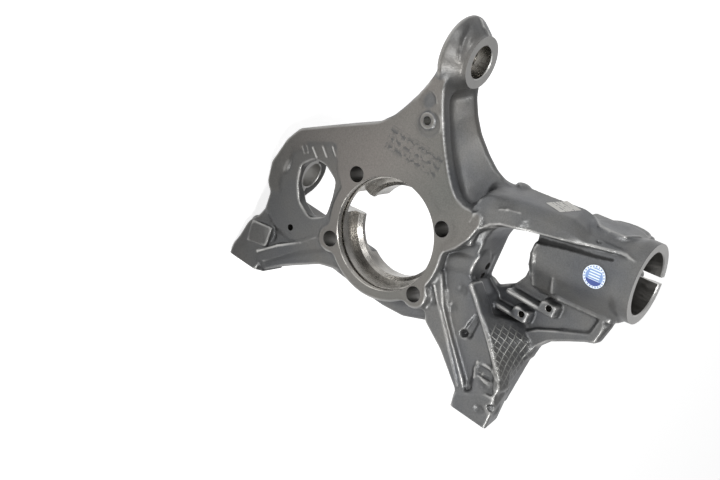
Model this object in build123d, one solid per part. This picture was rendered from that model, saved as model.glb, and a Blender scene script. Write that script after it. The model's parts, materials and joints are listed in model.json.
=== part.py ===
"""Steering knuckle for a strut-clamp front suspension: one aluminium casting and two adhesive labels.

Millimetres. The origin is the wheel axis at the outboard face of the hub flange.
+Z is vehicle up, +Y is inboard, -X is the side of the steering arm, +X the side of the brake caliper.
"""

from build123d import *
import os
from math import atan, cos, degrees, radians, sin, sqrt, tan

# ---------------------------------------------------------------- driving dimensions
# Hub flange and bearing bore (axis along Y, outboard face at Y = 0)
FLANGE_R = 53.5
FLANGE_DEPTH = 28.0
SKIRT_R = 58.5
SKIRT_FRONT = 13.0
SKIRT_LEAD = 4.5
SKIRT_STEP = 0.5
PILOT_R = 44.9
PILOT_DEPTH = 6.5
GROOVE_R = 45.8
GROOVE_WIDTH = 1.4
BORE_R = 43.5
BORE_END = 20.5
LIP_R = 36.5
LIP_CHAMFER = 2.0
HUB_HOLE_R = 6.4
HUB_HOLE_X = 29.2
HUB_HOLE_Z = 43.7
HUB_PAD_R = 11.5
HUB_PAD_DEPTH = 22.0
NOTCH_FRONT = 9.0
NOTCH_HALF_ANGLE = 13.0
NOTCH_TURN = 6.0
NOTCH_R = 70.0

# Front plate, steering arm and eye
PLATE_FRONT = 0.8
PLATE_REAR = 12.0
ARM_REAR = 46.0
CHANNEL_FLOOR = 24.0
CHANNEL_CREST = 40.0
EYE_X = -152.0
EYE_Y = 25.0
EYE_TOP = 6.0
EYE_BOTTOM = -20.0
EYE_R = 21.5
EYE_TILT = 7.0
DOME_R = 35.0
DOME_TOP_R = 23.5
DOME_RIM = 21.0
DOME_TOP = 5.0
DOME_EDGE = 3.0
EYE_BORE_R = 13.5
EYE_BORE_DEPTH = 15.0
EYE_HOLE_R = 10.5
SMALL_BOSS_X = -97.4
SMALL_BOSS_Z = -5.0
SMALL_BOSS_R = 6.9
SMALL_BOSS_FACE = 0.5
SMALL_BOSS_HOLE_R = 3.4
SMALL_BOSS_HOLE_DEPTH = 14.0
SMALL_BOSS_ROOT = 26.0

# Lower box and ball joint boss (axis along Z)
BOX_REAR = 44.0
JOINT_X = 3.0
JOINT_Y = 26.0
JOINT_R = 19.0
JOINT_SEAT = -96.0
JOINT_BOTTOM = -124.0
JOINT_HOLE_R = 10.5

# Caliper legs (bolt axes along X)
CALIPER_FACE = 91.0
CALIPER_LOW_Z = -113.5
CALIPER_HIGH_Z = 124.5
CALIPER_Y = 18.0
CALIPER_BARREL_R = 13.0
CALIPER_LOW_END = 55.0
CALIPER_HIGH_END = 58.0
CALIPER_HOLE_R = 6.5
LEG_FRONT = 5.0
LEG_WEB_FRONT = 11.0
LEG_WEB_REAR = 19.0
LEG_REAR = 44.0

# Strut clamp tube (its own plane, see below)
TUBE_END = (-61.2, 54.0, 194.0)
TUBE_CASTER = -0.128
TUBE_INCLINE = 0.087
TUBE_R = 30.5
TUBE_LENGTH = 86.0
TUBE_COLLAR_R = 32.8
TUBE_COLLAR_LENGTH = 9.0
STRUT_R = 25.5
STRUT_STOP_R = 22.5
STRUT_STOP_LENGTH = 8.0
SLIT_WIDTH = 5.5
SLIT_TURN = 4.0
PINCH_OFFSET = 34.5
PINCH_DOWN = 38.0
PINCH_BOSS_OFFSET = 30.0
PINCH_BOSS_R = 18.0
PINCH_HALF_WIDTH = 26.0
PINCH_HOLE_R = 6.5
PINCH_THREAD_R = 5.4
PINCH_BLIND = 6.0
CLAMP_PAD_OFFSET = 5.0
CLAMP_PAD_DOWN = 34.0
CLAMP_PAD_R = 20.7
CLAMP_PAD_PROUD = 0.4

# Neck plate, bracket ribs, sensor pad
NECK_FRONT = 42.0
NECK_REAR = 50.0
SHELF_TOP = 75.0
SHELF_FRONT = 12.0
SENSOR_BARREL_R = 12.5
RIB_TOP = 31.0
RIB_HALF = 2.0
RIB_LEAN = 0.06
RIB_PAD_REACH = 8.4
RIB_PAD_BEFORE = 9.0
RIB_PAD_AFTER = 6.0
BRACKET_HOLE_OFFSET = 4.3
BRACKET_HOLE_R = 2.6
PAD_Z = 77.0
SENSOR_HOLE_R = 3.2
LEG_HOLE_X = 41.8
LEG_HOLE_Z = -83.2
LEG_HOLE_R = 2.6

# Fin on the steering side
FIN_TOP = (-60.3, 54.0, 194.0)
FIN_CASTER = -0.150
FIN_INCLINE = 0.210
FIN_STANDOFF = 4.2
FIN_SLOPE = 0.077
FIN_BEND = -14.0

# Labels
ROUND_LABEL_R = 9.2
ROUND_LABEL_T = 0.2
ROUND_LABEL_DOWN = 31.8
ROUND_LABEL_ACROSS = 1.9
RECT_LABEL_LONG = 22.0
RECT_LABEL_WIDE = 17.0
RECT_LABEL_T = 0.2
RECT_LABEL_DOWN = 79.8
RECT_LABEL_ACROSS = 4.5
RECT_LABEL_TURN = 30.0

CAST_CORNER = 3.0
CAST_EDGE = 1.5
ON_BASE = (Align.CENTER, Align.CENTER, Align.MIN)
ON_BASE_LEFT = (Align.CENTER, Align.MIN, Align.MIN)


def leaning_plane(top, caster, incline):
    """Plane whose normal leans from vertical by the X and Y parts given, its x axis level with X."""
    along = Vector(caster, incline, sqrt(1 - caster**2 - incline**2))
    return Plane(origin=top, x_dir=Vector(1, 0, 0) - along * caster, z_dir=along)


TUBE = leaning_plane(TUBE_END, TUBE_CASTER, TUBE_INCLINE)
FIN = leaning_plane(FIN_TOP, FIN_CASTER, FIN_INCLINE)


# ---------------------------------------------------------------- small builders
def rounded(points, radius):
    """Closed outline whose corners are arcs, each no larger than its two sides allow."""
    arcs = []
    for i, point in enumerate(points):
        here = Vector(*point)
        back = Vector(*points[i - 1]) - here
        on = Vector(*points[(i + 1) % len(points)]) - here
        half = radians(back.get_angle(on)) / 2
        reach = min(radius / tan(half), 0.45 * back.length, 0.45 * on.length)
        round_r = reach * tan(half)
        towards, away = back.normalized() * reach, on.normalized() * reach
        middle = (towards + away).normalized() * (round_r / sin(half) - round_r)
        arcs.append((here + towards, here + middle, here + away))
    edges = []
    for i, (start, middle, end) in enumerate(arcs):
        edges.append(ThreePointArc(start, middle, end))
        edges.append(Line(end, arcs[(i + 1) % len(arcs)][0]))
    return make_face(Curve() + edges)


def slab(points, front, rear, corner=CAST_CORNER, edge=CAST_EDGE):
    """Flat cast block: an (X, Z) outline between two depths along Y, its front edge rounded."""
    flat = rounded(points, corner) if corner else Polygon(*points, align=None)
    outline = Plane.XZ.offset(-front) * flat
    block = extrude(outline, amount=rear - front, dir=(0, 1, 0))
    if edge:
        block = fillet(block.faces().sort_by(Axis.Y)[0].edges(), edge)
    return block


def barrel(start, end, radius, edge=0.0):
    """Round cast bar from one point to another."""
    along = Vector(*end) - Vector(*start)
    bar = Plane(origin=start, z_dir=along) * Cylinder(radius, along.length, align=ON_BASE)
    return fillet(bar.edges(), edge) if edge else bar


def disc_y(x, z, radius, front, rear):
    """Disc with its axis along Y."""
    return barrel((x, front, z), (x, rear, z), radius)


def on_tube(points, low, high):
    """Block along the clamp tube: an outline in the tube's plane between two distances from its end."""
    return extrude(TUBE.offset(low) * Polygon(*points, align=None), amount=high - low)


# ---------------------------------------------------------------- cast shapes
def hub_holes():
    """Centres (X, Z) of the four hub bolt holes."""
    return [(sx * HUB_HOLE_X, sz * HUB_HOLE_Z) for sx in (-1, 1) for sz in (-1, 1)]


def hub_casting():
    """Flange ring with its skirt and four round bolt pads."""
    ring = disc_y(0, 0, FLANGE_R, 0, FLANGE_DEPTH)
    ring = fillet(ring.faces().sort_by(Axis.Y)[0].edges(), CAST_EDGE)
    skirt = disc_y(0, 0, SKIRT_R, SKIRT_FRONT + SKIRT_LEAD, FLANGE_DEPTH)
    lead = Plane(origin=(0, SKIRT_FRONT, 0), z_dir=(0, 1, 0)) * Cone(
        FLANGE_R + SKIRT_STEP, SKIRT_R, SKIRT_LEAD, align=ON_BASE
    )
    pads = [disc_y(x, z, HUB_PAD_R, 0, HUB_PAD_DEPTH) for x, z in hub_holes()]
    pads = [fillet(pad.faces().sort_by(Axis.Y)[0].edges(), CAST_EDGE) for pad in pads]
    return [ring, skirt, lead, *pads]


def steering_arm():
    """Front plate, channel floor and raised rear rib of the steering arm."""
    outline = [
        (-20, -60), (-54, -79.5), (-76, -44), (-88, -34), (-100.5, -27.5), (-113, -21.8), (-122, -18.8),
        (-132, -16), (-146, -13), (-140, -2), (-126.7, -3), (-114, 2.5), (-101, 9.5), (-90, 16), (-80, 23), (-70, 30.5),
        (-61.5, 37.5), (-56.5, 44), (-54.5, 51), (-54.5, 62), (-57, 69), (-48, 72), (-33, 68), (-20, 60),
        (0, 40), (0, -40),
    ]
    floor = [
        (-20, -56), (-52, -76), (-74, -43), (-87, -32.5), (-100, -26), (-113, -20), (-130, -15), (-146, -12),
        (-134, -8), (-118, -7), (-99, 2), (-80, 14), (-66, 26), (-55, 38), (-50, 51), (-52, 65),
        (-59, 78), (-30, 71), (0, 40), (0, -40),
    ]
    crest = [
        (-20, -50), (-50, -72), (-72, -42), (-86, -31), (-100, -24), (-113, -18), (-130, -13), (-146, -10),
        (-134, 0), (-120, 4.5), (-108, 11.5), (-97, 20.5), (-86, 34), (-79, 45), (-75, 56), (-75, 68),
        (-77, 79), (-30, 72), (0, 40), (0, -30),
    ]
    slope = loft([
        Plane.XZ.offset(-CHANNEL_FLOOR) * Polygon(*floor, align=None),
        Plane.XZ.offset(-CHANNEL_CREST) * Polygon(*crest, align=None),
    ], ruled=True)
    return [
        slab(outline, PLATE_FRONT, PLATE_REAR),
        slab(floor, PLATE_REAR - 2, CHANNEL_FLOOR, edge=0),
        slope,
        slab(crest, CHANNEL_CREST, ARM_REAR, 0, 0),
    ]


def steering_eye():
    """Eye at the end of the steering arm and the flared dome it stands on."""
    frame = Pos(EYE_X, EYE_Y, EYE_TOP) * Rot(0, -EYE_TILT, 0)
    eye = Cylinder(EYE_R, EYE_TOP - EYE_BOTTOM, align=ON_BASE)
    eye = fillet(eye.edges().filter_by(GeomType.CIRCLE), CAST_EDGE)
    dome = Cone(DOME_R, DOME_TOP_R, DOME_RIM - DOME_TOP, align=ON_BASE)
    dome = fillet(dome.edges().sort_by(Axis.Z)[0], DOME_EDGE)
    return [frame * Pos(0, 0, EYE_BOTTOM - EYE_TOP) * eye, frame * Pos(0, 0, -DOME_RIM) * dome]


def eye_cut():
    """Flat top of the eye and the stepped hole through it."""
    frame = Pos(EYE_X, EYE_Y, EYE_TOP) * Rot(0, -EYE_TILT, 0)
    flat = frame * Pos(0, 0, 0) * Cylinder(2 * EYE_R, 60, align=ON_BASE)
    bore = frame * Pos(0, 0, -EYE_BORE_DEPTH) * Cylinder(EYE_BORE_R, 60, align=ON_BASE)
    hole = frame * Pos(0, 0, -60) * Cylinder(EYE_HOLE_R, 90, align=ON_BASE)
    return [flat, bore, hole]


def lower_box():
    """Front web, raised rims and side walls round the ball joint window, and the joint boss."""
    web = [
        (-54, -79.5), (-35, -109), (-20.5, -117), (2, -122.5), (18.5, -119.5), (25, -114),
        (38.5, -113), (48, -95), (44, -60), (30, -40), (-30, -40), (-60, -60),
    ]
    side = [(-54, -79.5), (-35, -109), (-20.5, -117), (-12, -111), (-26, -103), (-44, -68), (-62, -44), (-76, -44)]
    base = [
        (-35, -109), (-20.5, -117), (2, -122.5), (18.5, -119.5), (25, -114), (20, -103),
        (17, -107), (2, -110.5), (-14, -107), (-24, -98),
    ]
    near = [(31, -55), (39, -58), (41, -113), (31, -112)]
    floor = [(-20.5, -117), (2, -122.5), (18.5, -119.5), (38, -113), (38, -97), (-26, -97), (-35, -109)]
    return [
        slab(web, PLATE_FRONT + 2.6, PLATE_FRONT + 13, edge=0),
        slab(side, PLATE_FRONT, BOX_REAR),
        slab(base, PLATE_FRONT + 1, BOX_REAR - 6),
        slab(near, PLATE_REAR, BOX_REAR - 2, edge=0),
        slab(floor, PLATE_REAR, BOX_REAR - 14),
        barrel((JOINT_X, JOINT_Y, JOINT_BOTTOM), (JOINT_X, JOINT_Y, JOINT_SEAT), JOINT_R),
    ]


def window_cut():
    """Opening through the lower box in front of and beside the ball joint boss."""
    opening = [(-8.5, -95.7), (6, -92.5), (18.5, -85), (25.5, -71), (16.5, -57.5), (1, -58.5), (-13, -61.5),
               (-19.5, -75), (-19, -86)]
    front = slab(opening, -5, BOX_REAR + 10, corner=5, edge=0)
    seat = Pos(JOINT_X, JOINT_Y, JOINT_SEAT) * Box(44, 60, 34, align=ON_BASE)
    return [front, seat & slab([(-19, -95.9), (27, -95.9), (27, -61), (-19, -61)], PLATE_FRONT + 13, 60, 4, 0)]


def lower_leg():
    """Lower caliper leg: web, two rims, foot and bolt barrel."""
    web = [
        (25, -114), (38.5, -113), (52.8, -118.8), (60, -123), (81, -128), (88, -127), (88, -99),
        (71, -70.8), (57, -49), (51.4, -33.5), (40, -40), (31, -58), (31, -110),
    ]
    rim = [(91, -99), (71, -70.8), (57, -49), (52, -30), (44, -33), (50, -54), (64, -76), (83, -103)]
    rib = [(77, -105), (62, -91), (48.4, -72), (35.5, -57.5), (27, -49), (33, -41), (43.7, -50), (55, -66.5),
           (65.4, -78), (83, -96)]
    upper = [(25, -114), (38.5, -113), (52.8, -118.8), (60, -123), (81, -129), (81, -122), (60, -116),
             (50, -112), (40, -106), (28, -107)]
    foot = [(80, -129), (91, -129), (91, -98.5), (84, -100), (78, -106), (76, -122)]
    saddle = [(54, -121), (60, -124), (82, -128), (82, -101), (70, -97), (54, -99)]
    return [
        slab(web, LEG_FRONT + 2.5, LEG_WEB_REAR, edge=0),
        slab(rim, LEG_FRONT + 3.5, LEG_REAR - 6),
        slab(rib, LEG_FRONT - 0.5, LEG_WEB_REAR, 2),
        slab(upper, LEG_FRONT + 1, LEG_REAR - 8),
        slab(foot, LEG_FRONT - 1, CALIPER_Y * 2 - 2),
        slab(saddle, LEG_FRONT - 1, LEG_WEB_REAR, 4, 3),
        barrel((CALIPER_LOW_END, CALIPER_Y, CALIPER_LOW_Z), (CALIPER_FACE, CALIPER_Y, CALIPER_LOW_Z),
               CALIPER_BARREL_R, CAST_EDGE),
    ]


def upper_leg():
    """Upper caliper leg: web, two rims, sloping side, rear plate, foot and bolt barrel."""
    web = [
        (-6, 55), (10, 46), (40, 62), (57, 82), (78, 107), (88, 112), (88, 140), (80, 143), (60, 138),
        (46, 131), (28, 118), (11, 101), (-3, 84),
    ]
    core = [(10, 46), (45, 60), (58, 82), (79.5, 108), (84, 112), (84, 128), (62, 131), (46, 127.5), (30, 112.5),
            (15, 97.5), (6, 90), (0, 78)]
    left = [(3, 50), (29, 63), (36, 55), (45, 58.7), (58, 81), (79.5, 107), (77, 116), (68, 109),
            (44, 85), (26.5, 69), (3, 56)]
    right = [(-5, 82), (5.2, 93.4), (14, 102.6), (19.8, 110), (26, 116.6), (38.8, 128), (47, 136), (60, 141.5),
             (64, 137), (50, 131), (41.8, 124.6), (29, 112.8), (23, 106), (17, 98.8), (8.4, 89.6), (0, 80)]
    slope = loft([
        Plane.XZ.offset(-LEG_FRONT - 1) * Polygon(
            (13.6, 102), (26, 116), (46.5, 135), (62, 141), (64, 137.5), (50, 131), (29, 113), (17, 99), align=None
        ),
        Plane.XZ.offset(-NECK_REAR) * Polygon(
            (16, 124), (22, 141), (40, 135.5), (84, 131), (84, 120), (50, 112), (33, 102), (20, 98), align=None
        ),
    ], ruled=True)
    foot = [(79.5, 107), (91, 109), (91, 144), (84, 146), (76, 144), (64, 140), (67, 130), (74, 118)]
    corner = Pos(74, 0, 145) * Rot(-13, 0, 0) * Box(60, 60, 20, align=ON_BASE_LEFT)
    rear = [(10, 46), (45, 60), (58, 82), (79.5, 108), (84, 112), (84, 130), (70, 132), (48, 134),
            (34, 135), (22, 139), (10, 110), (-3, 80)]
    return [
        slab(web, LEG_WEB_FRONT, LEG_WEB_REAR, edge=0),
        slab(core, LEG_WEB_REAR - 1, NECK_FRONT + 1, edge=0),
        slab(left, LEG_FRONT, LEG_REAR - 4),
        slab(right, LEG_FRONT, LEG_WEB_REAR + 3, 2),
        slope,
        slab(foot, LEG_FRONT - 2, CALIPER_Y * 2 - 3) - corner,
        slab(rear, NECK_FRONT, NECK_REAR - 4, edge=0),
        barrel((CALIPER_HIGH_END, CALIPER_Y, CALIPER_HIGH_Z), (CALIPER_FACE, CALIPER_Y, CALIPER_HIGH_Z),
               CALIPER_BARREL_R, CAST_EDGE),
    ]


def tie_wall():
    """Wall behind the flange that ties the two caliper legs together."""
    outline = [(57, -46), (58.5, -24), (59.5, -5), (59.5, 15), (57.5, 34), (49, 55), (38, 62), (30, 40),
               (30, -40), (44, -50)]
    return slab(outline, 15, LEG_REAR - 6, edge=4)


def hub_shelf():
    """Solid shelf over the hub, its flat top under the strut window, with the sensor barrel and pad."""
    shelf = [(-46, 45), (-62, 60), (-58, 84), (-52, 82), (-45, 77.5), (-37, SHELF_TOP + 0.5), (2, SHELF_TOP), (12, 66),
             (14, 40), (-20, 30)]
    body = slab(shelf, SHELF_FRONT, NECK_REAR)
    sensor = barrel((-2.5, 21, 44), (-14.5, 22, 80), SENSOR_BARREL_R)
    over = Pos(0, 0, PAD_Z) * Box(90, 120, 60, align=ON_BASE)
    pad = slab([(-20, 62), (-20, PAD_Z), (4, PAD_Z), (4, 62)], 25, 39, 3, 1)
    return [body, sensor - over, pad]


def fin():
    """Fin from the hub to the clamp tube on the steering side, standing clear of the front of the tube."""
    stations = [
        # down the tube, front edge, outer front, inner front, rear edge, drop of the outer face
        (-136, -21.5, -15, -4, 24, 4),
        (-122, -23.5, -22.5, -7.5, 22, 1.5),
        (-108, -25.5, -27, -12.5, 20, 0),
        (-92, -26, -27.5, -14.5, 18, 0),
        (-65, -28, -24, -16.7, 17, 0),
        (-56, -28.5, -23, -17.2, 16, 3),
        (-50, -29, -22.5, -17.6, 14, 7.5),
        (-17, -30.5, -24.5, -20.5, 10, 8),
        (-8, -24, -23, -19, 8, 11),
    ]
    body = Part()
    sections = []
    for down, front, outer, inner, rear, drop in stations:
        outline = [
            (outer, front), (inner, front), (inner - 4, -4), (fin_face(rear) + drop + 11, rear),
            (fin_face(rear) + drop, rear), (fin_face(FIN_BEND) + drop, FIN_BEND),
        ]
        sections.append(FIN.offset(down) * Polygon(*outline, align=None))
    for lower, upper in zip(sections, sections[1:]):
        body += loft([lower, upper], ruled=True)
    arch = [(-70, 58), (-26, 58), (-27, 69), (-38.5, 69.5), (-44, 72.5), (-49, 78), (-54, 85.5), (-58, 96),
            (-60.5, 103), (-71, 103), (-66, 80.5), (-58, 70)]
    return [body, slab(arch, LEG_FRONT - 1, NECK_REAR, 1, 1)]


def fin_face(across):
    """Distance of the fin's flat outer face from the tube axis, at a place across it."""
    return -TUBE_R - FIN_STANDOFF - FIN_SLOPE * across


def neck_plate():
    """Plate on the inboard side from the upper leg to the clamp tube, with its rim and two bracket ribs."""
    plate = [(8, 70), (6, 79.5), (-2.3, 91.2), (-8, 99.5), (-17, 104.5), (-34, 106), (-52, 150), (-60, 184),
             (-20, 186), (-3, 182), (0, 174), (8, 160), (16, 147), (26, 139), (40, 136), (40, 110), (12, 70)]
    rim = [(-30, 178), (-16, 184), (-3, 182), (0, 174), (8, 160), (16, 147), (26, 139), (40, 137), (30, 122),
           (21, 123), (12, 134), (5, 147), (-3, 164), (-8, 174)]
    ribs = []
    for x, low, high, hole in bracket_ribs():
        foot, end = x + RIB_LEAN * (hole - low), x + RIB_LEAN * (hole - high)
        rail = [(foot - RIB_HALF, low), (foot + RIB_HALF, low), (end + RIB_HALF, high), (end - RIB_HALF, high)]
        head = [(x - RIB_PAD_REACH, hole - RIB_PAD_BEFORE + 2), (x - RIB_PAD_REACH + 3, hole - RIB_PAD_BEFORE),
                (x, hole - RIB_PAD_BEFORE), (x, hole + RIB_PAD_AFTER), (x - RIB_PAD_REACH, hole + RIB_PAD_AFTER)]
        ribs += [slab(rail, RIB_TOP, NECK_REAR - 2, 1.5, 1), slab(head, RIB_TOP, NECK_REAR - 2, 1.5, 1)]
    return [slab(plate, NECK_FRONT, NECK_REAR, 3, 0), slab(rim, NECK_FRONT - 4, NECK_REAR, 2), *ribs]


def fillet_front(part):
    """Round the front edge of a block."""
    return fillet(part.faces().sort_by(Axis.Y)[0].edges(), 1)


def bracket_ribs():
    """The two ribs: X at the hole, lower and upper end along Z, and the height of the hole in the pad at its end."""
    return [(10.6, 86, 126, 119.8), (-5.6, 99, 144.7, 138.5)]


def clamp_tube():
    """Strut clamp tube with its end collar, lengthwise parting rib and inboard clamp ears."""
    body = TUBE.offset(-TUBE_LENGTH) * Cylinder(TUBE_R, TUBE_LENGTH, align=ON_BASE)
    collar = TUBE.offset(-TUBE_COLLAR_LENGTH) * Cylinder(TUBE_COLLAR_R, TUBE_COLLAR_LENGTH, align=ON_BASE)
    taper = TUBE.offset(-TUBE_COLLAR_LENGTH - 8) * Cone(TUBE_R, TUBE_COLLAR_R, 8, align=ON_BASE)
    web = on_tube([(15, -26.5), (33.5, -13.5), (35, -11), (35, 12), (15, 12)], -TUBE_LENGTH + 1, -9)
    ears = on_tube([(-PINCH_HALF_WIDTH + 3, 10), (PINCH_HALF_WIDTH - 3, 10), (PINCH_HALF_WIDTH - 3, 50),
                    (-PINCH_HALF_WIDTH + 3, 50)], -TUBE_LENGTH + 12, -21)
    ears = fillet(ears.edges().filter_by(Axis(TUBE.origin, TUBE.z_dir)), 5)
    boss = TUBE * Pos(PINCH_HALF_WIDTH, PINCH_BOSS_OFFSET, -PINCH_DOWN) * Rot(0, -90, 0) * Cylinder(
        PINCH_BOSS_R, 2 * PINCH_HALF_WIDTH, align=ON_BASE
    )
    pad = TUBE * Pos(0, CLAMP_PAD_OFFSET, -CLAMP_PAD_DOWN) * Rot(0, -90, 0) * Cylinder(
        CLAMP_PAD_R, TUBE_R + CLAMP_PAD_PROUD, align=ON_BASE
    )
    pad = fillet(pad.edges().filter_by(GeomType.CIRCLE).sort_by(Axis.X)[0], 2)
    return [body, collar, taper, web, ears, boss, pad]


# ---------------------------------------------------------------- machining
def bearing_cut():
    """Stepped bore of the hub: pilot, groove, bore and inner lip."""
    cuts = [
        disc_y(0, 0, PILOT_R, -1, PILOT_DEPTH),
        disc_y(0, 0, GROOVE_R, PILOT_DEPTH - GROOVE_WIDTH, PILOT_DEPTH),
        disc_y(0, 0, BORE_R, -1, BORE_END),
        disc_y(0, 0, LIP_R, -1, NECK_REAR + 20),
    ]
    cone = Plane(origin=(0, BORE_END, 0), z_dir=(0, 1, 0)) * Cone(LIP_R + 3, LIP_R, 3, align=ON_BASE)
    return [*cuts, cone]


def notch_cut():
    """Slot through the bore wall for the speed sensor, open to the rear."""
    half = NOTCH_R * sin(radians(NOTCH_HALF_ANGLE))
    reach = NOTCH_R * cos(radians(NOTCH_HALF_ANGLE))
    slot = extrude(
        Plane.XZ.offset(-NOTCH_FRONT) * Polygon((0, 0), (-half, -reach), (half, -reach), align=None),
        amount=60, dir=(0, 1, 0),
    )
    return Rot(0, NOTCH_TURN, 0) * slot


def hub_hole_cuts():
    """Clearance holes for the four hub bolts."""
    return [disc_y(x, z, HUB_HOLE_R, -1, NECK_REAR + 10) for x, z in hub_holes()]


def joint_cut():
    """Vertical hole for the ball joint stud."""
    return barrel((JOINT_X, JOINT_Y, JOINT_BOTTOM - 5), (JOINT_X, JOINT_Y, JOINT_SEAT + 10), JOINT_HOLE_R)


def caliper_cuts():
    """Two bolt holes along X and the milled faces of the feet."""
    cuts = []
    for end, z in ((CALIPER_LOW_END, CALIPER_LOW_Z), (CALIPER_HIGH_END, CALIPER_HIGH_Z)):
        cuts.append(barrel((end - 3, CALIPER_Y, z), (CALIPER_FACE + 5, CALIPER_Y, z), CALIPER_HOLE_R))
        cuts.append(Pos(CALIPER_FACE, CALIPER_Y, z) * Box(20, 80, 60, align=(Align.MIN, Align.CENTER, Align.CENTER)))
    return cuts


def clamp_cuts():
    """Strut bore, its stop, the slit, the pinch-bolt hole and the flat end of the tube."""
    bore = TUBE.offset(-TUBE_LENGTH + STRUT_STOP_LENGTH) * Cylinder(STRUT_R, TUBE_LENGTH + 40, align=ON_BASE)
    stop = TUBE.offset(-TUBE_LENGTH - 4) * Cylinder(STRUT_STOP_R, TUBE_LENGTH, align=ON_BASE)
    end = TUBE * Cylinder(80, 60, align=ON_BASE)
    slit = TUBE.offset(-TUBE_LENGTH - 3) * Rot(0, 0, -SLIT_TURN) * Pos(0, 20) * Box(
        SLIT_WIDTH, 60, TUBE_LENGTH + 30, align=(Align.CENTER, Align.MIN, Align.MIN)
    )
    slit_middle = PINCH_OFFSET * tan(radians(SLIT_TURN))
    pinch = TUBE * Pos(slit_middle, PINCH_OFFSET, -PINCH_DOWN) * Rot(0, 90, 0)
    hole = pinch * Cylinder(PINCH_HOLE_R, 80, align=ON_BASE)
    thread_depth = PINCH_HALF_WIDTH - PINCH_BLIND + slit_middle
    thread = pinch * Pos(0, 0, -thread_depth) * Cylinder(PINCH_THREAD_R, thread_depth + 1, align=ON_BASE)
    return [bore, stop, end, slit, hole, thread]


def small_cuts():
    """Threaded hole of the front boss, bracket holes and the sensor holes in the pad."""
    cuts = [disc_y(SMALL_BOSS_X, SMALL_BOSS_Z, SMALL_BOSS_HOLE_R, -5, SMALL_BOSS_FACE + SMALL_BOSS_HOLE_DEPTH)]
    cuts += [disc_y(x - BRACKET_HOLE_OFFSET, hole, BRACKET_HOLE_R, RIB_TOP - 1, NECK_REAR - 5) for x, _, _, hole in bracket_ribs()]
    cuts.append(barrel((-11.5, 32.5, 62), (-11.5, 32.5, PAD_Z + 5), SENSOR_HOLE_R))
    cuts.append(barrel((-3.5, 31, 66), (-3.5, 31, PAD_Z + 5), SENSOR_HOLE_R * 0.75))
    cuts.append(disc_y(LEG_HOLE_X, LEG_HOLE_Z, LEG_HOLE_R, -1, LEG_FRONT + 10))
    slot = slab([(21, 100), (21, 94), (37, 92.5), (41, 95.5), (38, 99)], LEG_FRONT, LEG_WEB_FRONT + 3, 2.5, 0)
    cuts += [slot, disc_y(37.5, 96, LEG_HOLE_R, LEG_FRONT, LEG_WEB_FRONT + 6)]
    return cuts


def small_boss():
    """Round boss for a bracket screw on the front plate."""
    return fillet_front(disc_y(SMALL_BOSS_X, SMALL_BOSS_Z, SMALL_BOSS_R, SMALL_BOSS_FACE, SMALL_BOSS_ROOT))


# ---------------------------------------------------------------- whole parts
def knuckle_casting():
    """The casting: every cast shape joined, then every machined place cut."""
    shapes = [
        *hub_casting(), *steering_arm(), *steering_eye(), *lower_box(), *lower_leg(), *upper_leg(),
        tie_wall(), *hub_shelf(), *fin(), *neck_plate(), *clamp_tube(), small_boss(),
    ]
    body = Part() + shapes
    cuts = [
        *window_cut(), *bearing_cut(), notch_cut(), *hub_hole_cuts(), *eye_cut(), joint_cut(),
        *caliper_cuts(), *clamp_cuts(), *small_cuts(),
    ]
    return body - cuts


def round_label():
    """Round label on the outboard side of the clamp tube, curved with it."""
    skin = TUBE.offset(-TUBE_LENGTH) * Cylinder(TUBE_R + ROUND_LABEL_T, TUBE_LENGTH, align=ON_BASE)
    core = TUBE.offset(-TUBE_LENGTH) * Cylinder(TUBE_R, TUBE_LENGTH, align=ON_BASE)
    stamp = TUBE * Pos(ROUND_LABEL_ACROSS, 0, -ROUND_LABEL_DOWN) * Rot(90, 0, 0) * Cylinder(
        ROUND_LABEL_R, 2 * TUBE_R, align=ON_BASE
    )
    return (skin - core) & stamp


def rectangular_label():
    """Rectangular label on the flat outer face of the fin."""
    face = FIN * Pos(fin_face(RECT_LABEL_ACROSS), RECT_LABEL_ACROSS, -RECT_LABEL_DOWN)
    turned = Rot(0, 0, degrees(atan(FIN_SLOPE))) * Rot(RECT_LABEL_TURN, 0, 0)
    return face * turned * Box(
        RECT_LABEL_T, RECT_LABEL_LONG, RECT_LABEL_WIDE, align=(Align.MAX, Align.CENTER, Align.CENTER)
    )


PARTS = {
    "knuckle_casting": knuckle_casting,
    "round_label": round_label,
    "rectangular_label": rectangular_label,
}

if __name__ == "__main__":
    os.makedirs("parts", exist_ok=True)
    for name, build in PARTS.items():
        part = build()
        part.label = name
        export_step(part, f"parts/{name}.step")
        print(name, len(part.solids()), round(part.volume), part.bounding_box())
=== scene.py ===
"""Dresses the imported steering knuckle: a soft cast body, its milled places, two stickers and a small studio.

The casting is worked out as a field of signed distances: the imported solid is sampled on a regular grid,
its inner corners are filled as a rolling ball would leave them, its outer corners are worn round, small cast
forms are added, and the field is turned back into one skin. The milled places are then cut crisply.
Lengths are millimetres in the part's own frame; they become metres where a mesh is made.
"""

import json
import logging
import math
from dataclasses import dataclass, field
from enum import Enum
from typing import Callable, Sequence

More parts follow.
